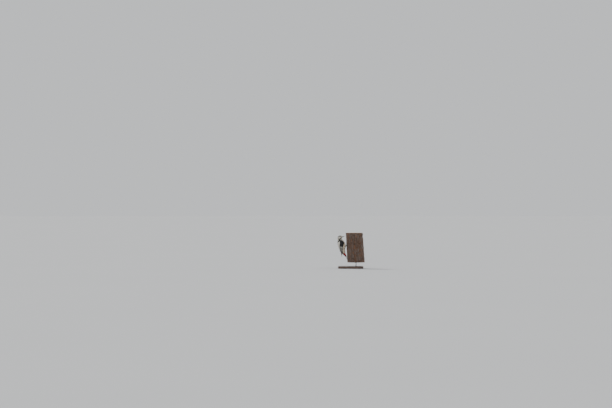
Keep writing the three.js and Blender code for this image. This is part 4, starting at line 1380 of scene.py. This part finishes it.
def tail_points(t, across, height):
    """Points on the tail: t along its table, across from -1 to 1."""
    x, z, half_width, bow, _ = np.moveaxis(along(TAIL, t), -1, 0)
    ahead = along(TAIL, np.asarray(t) + 0.02)
    behind = along(TAIL, np.asarray(t) - 0.02)
    way = unit(np.stack([ahead[..., 0] - behind[..., 0], 0 * x, ahead[..., 1] - behind[..., 1]], axis=-1))
    out = np.stack([-way[..., 2], 0 * x, way[..., 0]], axis=-1)
    centre = np.stack([x, across * half_width, z], axis=-1)
    return centre + out * (height - bow * across**2)[..., None]


def make_tail():
    """Stiff pointed tail feathers, the middle pair on top and longest."""
    rng = np.random.default_rng(41)
    shape = Shape()
    last = len(TAIL) - 1
    for pair, (across, reach, half, bars) in reversed(list(enumerate(RECTRICES))):
        for _, side in SIDES:
            u = np.linspace(0, 1, 14)[None, :]
            t = last * reach * u
            share = side * across * (0.35 + 0.65 * u)
            spines = tail_points(t, share, 0 * u)
            normals = unit(tail_points(t, share, 0 * u + 1) - spines)
            up = 0.55 - 0.42 * pair + (0.12 if side > 0 else 0.0) * (pair == 0)
            lifts = (np.array([up]), np.array([up - 0.1]))
            lay(shape, RECTRIX_CUT, spines, normals, np.array([half]), lifts, np.array([BLACK]),
                atlas_spots(1, 2 * pair + (side > 0)), rng, side, bars=bars)
    piece = shape.build("feathers_tail", FLIGHT_FEATHERS, crisp=70)
    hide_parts("tail")


# ------------------------------------------------------------------ bill and eyes


def bill_place(out, y, up):
    """A place by its distance out along the bill, sideways and up from its gape line."""
    cos, sin = math.cos(BILL_RISE), math.sin(BILL_RISE)
    x = BILL_BASE[0] - out * cos + up * sin
    z = BILL_BASE[2] + out * sin + up * cos
    return turned(np.stack(np.broadcast_arrays(x, y, z), axis=-1))


def make_mandible(half, label):
    """One half of the straight chisel bill, with its ridge and a groove from the nostril."""
    height = BILL_UPPER if half > 0 else BILL_LOWER
    length = BILL_LENGTH if half > 0 else BILL_LENGTH - 1.2
    out = np.linspace(-3.2, length, 60)
    taper = 1 - np.maximum(out, 0) / (length + 1.5)
    width = BILL_HALF_WIDTH * (0.16 + 0.84 * taper**0.9) - 0.1
    rise = height * (0.12 + 0.88 * taper**0.85) - 0.1
    angle = np.linspace(0, math.pi, 33)
    across = np.cos(angle)[None, :]
    up = np.sin(angle)[None, :] ** 0.85
    ridge = 0.10 * np.exp(-((across / 0.16) ** 2))
    groove = -0.09 * np.exp(-(((np.abs(across) - 0.62) / 0.10) ** 2)) * smoothstep(taper, 0.25, 0.6)[:, None]
    sill = 0.05 * smoothstep(np.abs(across), 0.9, 1.0)
    swell = 1 + ridge * taper[:, None] + groove
    y = width[:, None] * across * (1 + sill)
    z = half * (0.03 + up * rise[:, None] * swell)
    grid = bill_place(out[:, None], y, z)
    points, faces = loft(grid)
    shape = Shape()
    shape.add(points, faces)
    piece = shape.build(f"horn_bill_{label}", BILL_HORN)
    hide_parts(f"bill_{label}")


def bill_surface(out, turn, side, half, over):
    """A place at a height over the horn: turn is 0 at the gape and a right angle at the ridge."""
    taper = 1 - np.maximum(out, 0) / (BILL_LENGTH + 1.5)
    height = BILL_UPPER if half > 0 else BILL_LOWER
    width = BILL_HALF_WIDTH * (0.16 + 0.84 * taper**0.9) + over
    rise = height * (0.12 + 0.88 * taper**0.85) + over
    up = np.clip(np.sin(turn), 0, 1) ** 0.85
    return bill_place(out, side * width * np.cos(turn), half * (rise * up + 0.14))


def bill_bristles():
    """Stiff forward-lying bristles over the nostrils, and short soft ones round the chin."""
    rng = np.random.default_rng(51)
    shape = Shape()
    for half, number, longest, dark_share in ((1, 300, 6.2, 0.4), (-1, 220, 3.6, 0.05)):
        for _, side in SIDES:
            out = -2.6 + 2.6 * rng.random(number)
            turn = math.radians(6) + math.radians(80) * rng.random(number)
            lengths = longest * (0.55 + 0.45 * rng.random(number)) * np.interp(turn, [0.1, 0.7, 1.5], [0.6, 1, 0.65])
            u = np.linspace(0, 1, 5)[None, :]
            reach = out[:, None] + lengths[:, None] * u
            drift = turn[:, None] - 0.2 * u * half
            spines = bill_surface(reach, drift, side, half, 0.2)
            normals = unit(bill_surface(reach, drift, side, half, 1.2) - spines)
            dark = (rng.random(number) < dark_share).astype(float)
            dye = mix(np.array(FOREHEAD), np.array(BRISTLE), dark)
            spots = np.stack([0.5 + 0.03 * side * half * rng.random(number), 0.03 + 0.02 * rng.random(number)], axis=-1)
            lifts = (np.full(number, -0.2), 0.1 + 0.4 * rng.random(number))
            lay(shape, HEAD_CUT, spines, normals, np.full(number, 0.17), lifts, dye, spots, rng, warp=np.copy)
    shape.build("coat_bill_bristles", SOFT_FEATHERS, crisp=70)


def make_eye(label, side):
    """An eyeball with its cornea, and the bare lid round it."""
    axis, first, second = eye_axes(side)
    polar = np.linspace(0.02, math.pi - 0.02, 33)[:, None, None]
    turn = np.linspace(0, 2 * math.pi, 48, endpoint=False)[None, :, None]
    radius = EYE_RADIUS + 0.22 * np.exp(-((polar / 0.55) ** 2))
    centre = EYE * np.array([1, side, 1])
    ball = centre + radius * (np.cos(polar) * axis + np.sin(polar) * (np.cos(turn) * first + np.sin(turn) * second))
    points, faces = loft(turned(ball))
    off_axis = np.broadcast_to(polar[:, :, 0], ball.shape[:2]).reshape(-1)
    shape = Shape()
    shape.add(points, faces, off_axis=np.concatenate([off_axis, [0.0, math.pi]])[:, None])
    piece = shape.build(f"eyeball_{label}", EYE_WET)
    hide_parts(f"eye_{label}")

    opening = np.linspace(0, 2 * math.pi, 64, endpoint=False)
    cone = 0.76 + 0.05 * np.cos(2 * opening)
    tube = np.linspace(0, 2 * math.pi, 14, endpoint=False)
    thick = 0.19 + 0.03 * np.cos(9 * opening) * np.cos(4 * opening)
    along_eye = np.cos(opening)[:, None] * first + np.sin(opening)[:, None] * second
    rim = np.cos(cone)[:, None] * axis + np.sin(cone)[:, None] * along_eye
    other = unit(np.cross(rim, np.cross(axis, along_eye)))
    rings = centre + rim[:, None] * (EYE_RADIUS + 0.02 + thick[:, None, None] * np.cos(tube)[None, :, None]) \
        + other[:, None] * thick[:, None, None] * 1.3 * np.sin(tube)[None, :, None]
    points = turned(rings.reshape(-1, 3))
    count, around = rings.shape[:2]
    index = np.arange(count * around).reshape(count, around)
    ahead = np.roll(index, -1, axis=0)
    quads = np.stack([index, np.roll(index, -1, axis=1), np.roll(ahead, -1, axis=1), ahead], axis=-1)
    shape = Shape()
    shape.add(points, outward(points, [quads.reshape(-1, 4)]))
    shape.build(f"eyelid_{label}", EYELID)


# ------------------------------------------------------------------ legs and feet


def foot_centre(side):
    y = side * FOOT_Y
    return np.array([bark_x(y, FOOT_Z) + FOOT_PAD + 0.3, y, FOOT_Z])


def on_bark(side, angle, out, over):
    """A place on a toe's line, at a distance out from the foot and a height over the bark."""
    turn = math.radians(angle)
    y = side * (FOOT_Y + out * math.sin(turn))
    z = FOOT_Z + out * math.cos(turn)
    return np.stack([bark_x(y, z) + over, y, z], axis=-1)


def scuted(rings, number, depth):
    """Raises scutes on the upper side of a limb's rings, and marks the creases between for the skin material to darken
    as painted shade.
    """
    steps, around, _ = rings.shape
    centre = rings.mean(axis=1, keepdims=True)
    phase = (np.linspace(0, number, steps) % 1.0)[:, None, None]
    turn = np.linspace(0, 2 * math.pi, around, endpoint=False)[None, :, None]
    upper = smoothstep(np.cos(turn), -0.4, 0.3)
    step = depth * (phase**0.5 - 0.7)
    # This crease mask is where the skin material paints shade.
    crease = np.broadcast_to(upper * (1 - smoothstep(phase, 0.05, 0.3)), (steps, around, 1)).reshape(-1, 1)
    return centre + (rings - centre) * (1 + step * upper), np.concatenate([crease, crease[:2]])


def make_leg(label, side):
    """The scaled tarsus and foot pad."""
    heel = HEEL * np.array([1, side, 1])
    share = np.linspace(0, 1, 90)
    path = heel + share[:, None] * (foot_centre(side) - heel)
    path[:, 0] += 0.5 * np.sin(math.pi * share)
    radii = np.interp(share, [0, 0.02, 0.06, 0.12, 0.3, 0.6, 0.85, 0.95, 1], [0.5, 1.3, 1.9, 2.1, 1.55, 1.35, 1.5, 1.9, 1.5])
    rings, crease = scuted(limb_rings(path, radii, 28, across=(0, 1, 0), flat=1.12), 15, 0.20)
    shape = Shape()
    shape.add(*loft(rings), crease=crease)
    piece = shape.build(f"scaled_tarsus_{label}", SCALY_SKIN)
    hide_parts(f"tarsus_{label}")
    for name, angle, length, claw, radius in TOES:
        make_toe(name, label, side, angle, length, claw, radius)


def make_toe(name, label, side, angle, length, claw, radius):
    """One toe with its scutes and pads, and its hooked claw."""
    share = np.linspace(0, 1, 48)
    knuckle = 1 + 0.13 * np.cos(2 * math.pi * 2.5 * share)
    radii = radius * (1 - 0.22 * share) * knuckle
    radii *= np.interp(share, [0, 0.06, 0.94, 1], [0.75, 1, 1, 0.8])
    over = radius * 1.05 + 0.15 + 0.35 * np.sin(math.pi * share) ** 2
    path = on_bark(side, angle, 0.4 + share * (length - 0.4), over)
    rings = limb_rings(path, radii, 22, across=(1, 0, 0))
    rings, crease = scuted(np.roll(rings, 5, axis=1), max(int(length / 1.3), 4), 0.20)
    shape = Shape()
    shape.add(*loft(rings), crease=crease)
    piece = shape.build(f"scaled_toe_{name}_{label}", SCALY_SKIN)
    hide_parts(f"toe_{name}_{label}")

    share = np.linspace(0, 1, 30)
    base = radius * 1.05
    over = base + 1.5 * np.sin(math.pi * 0.8 * share) - (base + 0.25) * share**2
    path = on_bark(side, angle, length - 0.7 + share * claw * 0.9, over)
    radii = radius * 0.66 * (1 - share) ** 0.75 + 0.12
    rings = limb_rings(path, radii, 18, across=(1, 0, 0), flat=1.35)
    shape = Shape()
    shape.add(*loft(rings))
    piece = shape.build(f"horn_claw_{name}_{label}", CLAW_HORN)
    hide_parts(f"claw_{name}_{label}")


# ------------------------------------------------------------------ trunk


def ripples(angle, z, size, rng, waves=14):
    """Irregular waves of about one size over the trunk, about -1 to 1."""
    total = np.zeros(angle.shape)
    for _ in range(waves):
        turn = rng.uniform(0, 2 * math.pi)
        pace = 2 * math.pi / size * rng.uniform(0.6, 1.5)
        round_ = round(pace * math.cos(turn) * TRUNK_RADIUS)
        total += np.sin(round_ * angle + pace * math.sin(turn) * z + rng.uniform(0, 2 * math.pi))
    return total / math.sqrt(2 * waves)


def make_trunk():
    """The cut length of pine: layered flaky bark in dense relief, and two sawn ends."""
    rng = np.random.default_rng(61)
    columns, rows = 440, 224
    angle = np.linspace(0, 2 * math.pi, columns, endpoint=False)[None, :]
    z = np.linspace(-TRUNK_BELOW, TRUNK_ABOVE, rows)[:, None]
    angle, z = np.broadcast_arrays(angle, z)
    stray_around = 1.5 * ripples(angle, z, 13, rng) + 0.9 * ripples(angle, z, 5, rng)
    stray_up = 3.0 * ripples(angle, z, 12, rng) + 1.2 * ripples(angle, z, 5, rng)
    edge, row, column = bark_plates(angle, z, stray_around, stray_up)
    plates = plate_form(edge, row, column)
    flake_edge, flake_row, flake_column = bark_plates(
        angle, z, 1.5 * stray_around + 2.0, 1.6 * stray_up, FLAKES_AROUND, FLAKE_TALL)
    width = 1.1 + 0.8 * ripples(angle, z, 24, rng)
    # Cracks along the plate edges: cut in below, and darkened as painted shade by the bark material.
    shaded_crack = 1 - smoothstep(edge, 0.2, 0.2 + np.maximum(width, 0.6))
    loose = 0.8 * ripples(angle, z, 19, rng) + 0.4 * ripples(angle, z, 6, rng) + 0.25 * ripples(angle, z, 3, rng)
    loose = loose + 2.4 * (chance(flake_row, flake_column, 6) - 0.5)
    layer = loose + plates / LAYER
    step = np.floor(layer)
    terrace = step + smoothstep(layer - step, 0.72, 1.0) + 0.36
    seam = 1 - smoothstep(flake_edge, 0.0, 0.9)
    fine = LAYER * terrace - plates + 0.16 * ripples(angle, z, 2.6, rng) - 1.3 * shaded_crack - 0.35 * seam
    calm = calm_share(angle)
    fine = fine * (1 - 0.4 * calm) + (0.4 * plates - 0.3) * calm
    radius = bark_radius(angle, z, plates) + fine
    outer = np.stack([trunk_axis_x(z) + radius * np.cos(angle), radius * np.sin(angle), z], axis=-1)
    tone = 0.6 * chance(row, column, 4) + 0.4 * chance(flake_row, flake_column, 7)
    fresh = smoothstep(-loose, -0.2, 1.3) * (0.35 + 0.65 * chance(flake_row, flake_column, 8))
    # The third channel marks the cracks and flake seams that the bark material darkens as painted shade.
    bark = np.stack([tone, fresh, np.maximum(shaded_crack, 0.45 * seam)], axis=-1)
    shape = Shape()
    shape.add(outer.reshape(-1, 3), [ring_faces(rows, columns)[:, ::-1]], bark=bark.reshape(-1, 3))
    barked = shape.build("bark_of_trunk", PINE_BARK)

    ends = Shape()
    for z_end, ring, up in ((TRUNK_ABOVE, outer[-1], 1), (-TRUNK_BELOW, outer[0], -1)):
        shares = np.concatenate([[1.0, 0.993, 0.94, 0.925, 0.91], np.linspace(0.88, 0.03, 26)])
        centre = np.array([trunk_axis_x(z_end), 0, z_end])
        rings = centre + (ring - centre)[None] * shares[:, None, None]
        rng = np.random.default_rng(64)
        saw = 0.12 * np.sin(rings[..., 0] * 0.9) + 0.10 * rng.random(rings.shape[:2])
        inside = smoothstep(1 - shares, 0.0, 0.02)[:, None]
        rings[..., 2] += up * (saw * inside + 0.25 * inside * (shares[:, None] < 0.93))
        points = np.concatenate([rings.reshape(-1, 3), centre[None]])
        spot = points - centre
        count = len(shares)
        faces = ring_faces(count, columns)
        k = np.arange(columns)
        hub = np.stack([np.full(columns, count * columns), (count - 1) * columns + k, (count - 1) * columns + (k + 1) % columns], axis=-1)
        blocks = [faces, hub]
        if up < 0:
            blocks = [block[:, ::-1] for block in blocks]
        rim = np.concatenate([np.repeat(shares > 0.917, columns).astype(float), [0.0]])
        ends.add(points, [block.copy() for block in blocks], spot=spot, rim=rim[:, None])
    sawn = ends.build("sawn_ends_of_trunk", SAWN_PINE)
    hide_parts("trunk_length")
    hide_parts("trunk_length")


# ------------------------------------------------------------------ stand


def rounded_ring(half_x, half_y, corner, z, steps=12):
    """A rectangle with round corners, as a ring of points."""
    points = []
    for quarter, (sign_x, sign_y) in enumerate(((1, 1), (-1, 1), (-1, -1), (1, -1))):
        for k in range(steps + 1):
            angle = math.pi / 2 * (quarter + k / steps)
            points.append((sign_x * (half_x - corner) + corner * math.cos(angle),
                           sign_y * (half_y - corner) + corner * math.sin(angle), z))
    return np.array(points)


def make_base():
    """The flat wooden base, with a round-over along its top edge and a fine foot chamfer."""
    half_x, half_y = STAND_LENGTH / 2, STAND_WIDTH / 2
    profile = [(1.0, 0.0), (0.0, 1.0)]
    for k in range(9):
        turn = math.pi / 2 * k / 8
        profile.append((STAND_CHAMFER * (1 - math.cos(turn)), STAND_THICKNESS - STAND_CHAMFER * (1 - math.sin(turn))))
    rings = np.stack([rounded_ring(half_x - inset, half_y - inset, STAND_CORNER - inset, z) for inset, z in profile])
    points, faces = loft(rings)
    shape = Shape()
    shape.add(points - BIRD_ORIGIN, faces)
    piece = shape.build("stand_plinth", STAND_WOOD, crisp=30)
    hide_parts("stand_base")


def make_rod(number, y):
    """A steel rod with a small turned collar on the base and another under the trunk."""
    foot = STAND_THICKNESS
    top = STAND_THICKNESS + ROD_HEIGHT
    x = TRUNK_RADIUS / 2 + trunk_axis_x(-TRUNK_BELOW)
    collar = 7.5
    profile = [(0.0, foot), (collar - 0.4, foot), (collar, foot + 0.4), (collar, foot + 1.4), (collar - 0.6, foot + 2.0),
               (ROD_RADIUS + 1.2, foot + 2.4), (ROD_RADIUS, foot + 3.6), (ROD_RADIUS, top - 2.0),
               (ROD_RADIUS + 1.6, top - 1.6), (ROD_RADIUS + 1.9, top - 1.0), (ROD_RADIUS + 1.9, top + 1.0), (0.0, top + 1.0)]
    turn = np.linspace(0, 2 * math.pi, 56, endpoint=False)
    rings = np.stack([np.stack([x + max(r, 0.01) * np.cos(turn), y + max(r, 0.01) * np.sin(turn), np.full(56, z)], axis=-1) for r, z in profile])
    points, faces = loft(rings)
    shape = Shape()
    shape.add(points - BIRD_ORIGIN, faces)
    piece = shape.build(f"stand_support_{number}", STEEL, crisp=35)
    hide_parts(f"stand_rod_{number}")


# ------------------------------------------------------------------ the whole

make_skin()
dress_body()
dress_eyes()
dress_thighs()
for wing_label, wing_side in SIDES:
    make_wing(wing_label, wing_side)
make_tail()
make_mandible(1, "upper")
make_mandible(-1, "lower")
bill_bristles()
for side_label, side_sign in SIDES:
    make_eye(side_label, side_sign)
    make_leg(side_label, side_sign)
make_trunk()
make_base()
make_rod(1, ROD_SPREAD / 2)
make_rod(2, -ROD_SPREAD / 2)

# ------------------------------------------------------------------ floor, light, camera

PIXEL = 0.0078  # metres at the bird to one picture element
FOCAL = 1700.0  # picture elements
PICTURE = (612, 408)
BIRD_AT = (346.35, 245.0)  # where the bark at the feet shows in the picture


def make_floor():
    """A wide pale floor."""
    made, nodes, shader = new_material("studio_floor", roughness=0.9, specular_ior_level=0.1)
    place = nodes.add("ShaderNodeTexCoord").outputs["Object"]
    tone = nodes.mix(nodes.noise(place, 0.7, 3.0), (0.505, 0.512, 0.520, 1), (0.525, 0.532, 0.540, 1))
    nodes.feed(shader.inputs["Base Color"], tone)
    mesh = bpy.data.meshes.new("floor")
    turn = np.linspace(0, 2 * math.pi, 96, endpoint=False)
    reach = 60.0
    points = [(reach * math.cos(a), reach * math.sin(a), 0.0) for a in turn]
    mesh.from_pydata(points, [], [list(range(96))])
    mesh.materials.append(made)
    floor = bpy.data.objects.new("floor", mesh)
    bpy.context.scene.collection.objects.link(floor)


def soft_sun(name, source, spread, strength, color=(1, 1, 1)):
    """Even light over the whole floor from one side, softened by its spread in degrees."""
    data = bpy.data.lights.new(name, "SUN")
    data.angle = math.radians(spread)
    data.energy = strength
    data.color = color
    lamp = bpy.data.objects.new(name, data)
    lamp.rotation_euler = Vector(source).to_track_quat("Z", "Y").to_euler()
    bpy.context.scene.collection.objects.link(lamp)


def make_light():
    """Soft light from all round, with a brighter side and a rim from behind."""
    world = bpy.data.worlds.new("studio")
    world.use_nodes = True
    background = world.node_tree.nodes["Background"]
    background.inputs["Color"].default_value = (0.96, 0.98, 1.0, 1)
    background.inputs["Strength"].default_value = 0.74
    bpy.context.scene.world = world
    soft_sun("key", (0.8, -0.7, 1.0), 24, 2.3, (1.0, 0.98, 0.95))
    soft_sun("side", (0.2, 1.2, 0.9), 60, 0.45)
    soft_sun("rim", (-1.0, 0.1, 0.6), 50, 0.6)


def make_camera():
    """A long lens that looks level along -Y, with the bird where the picture has it."""
    data = bpy.data.cameras.new("camera")
    data.sensor_width = 36.0
    data.lens = FOCAL / PICTURE[0] * data.sensor_width
    data.clip_end = 400
    grip = (BIRD_ORIGIN + np.array([0, 0, GRIP_Z])) * MM
    x = grip[0] + (BIRD_AT[0] - PICTURE[0] / 2) * PIXEL
    z = grip[2] + (BIRD_AT[1] - PICTURE[1] / 2) * PIXEL
    camera = bpy.data.objects.new("camera", data)
    camera.location = (x, FOCAL * PIXEL, z)
    camera.rotation_euler = (math.pi / 2, 0, math.pi)
    bpy.context.scene.collection.objects.link(camera)
    bpy.context.scene.camera = camera


make_floor()
make_light()
make_camera()
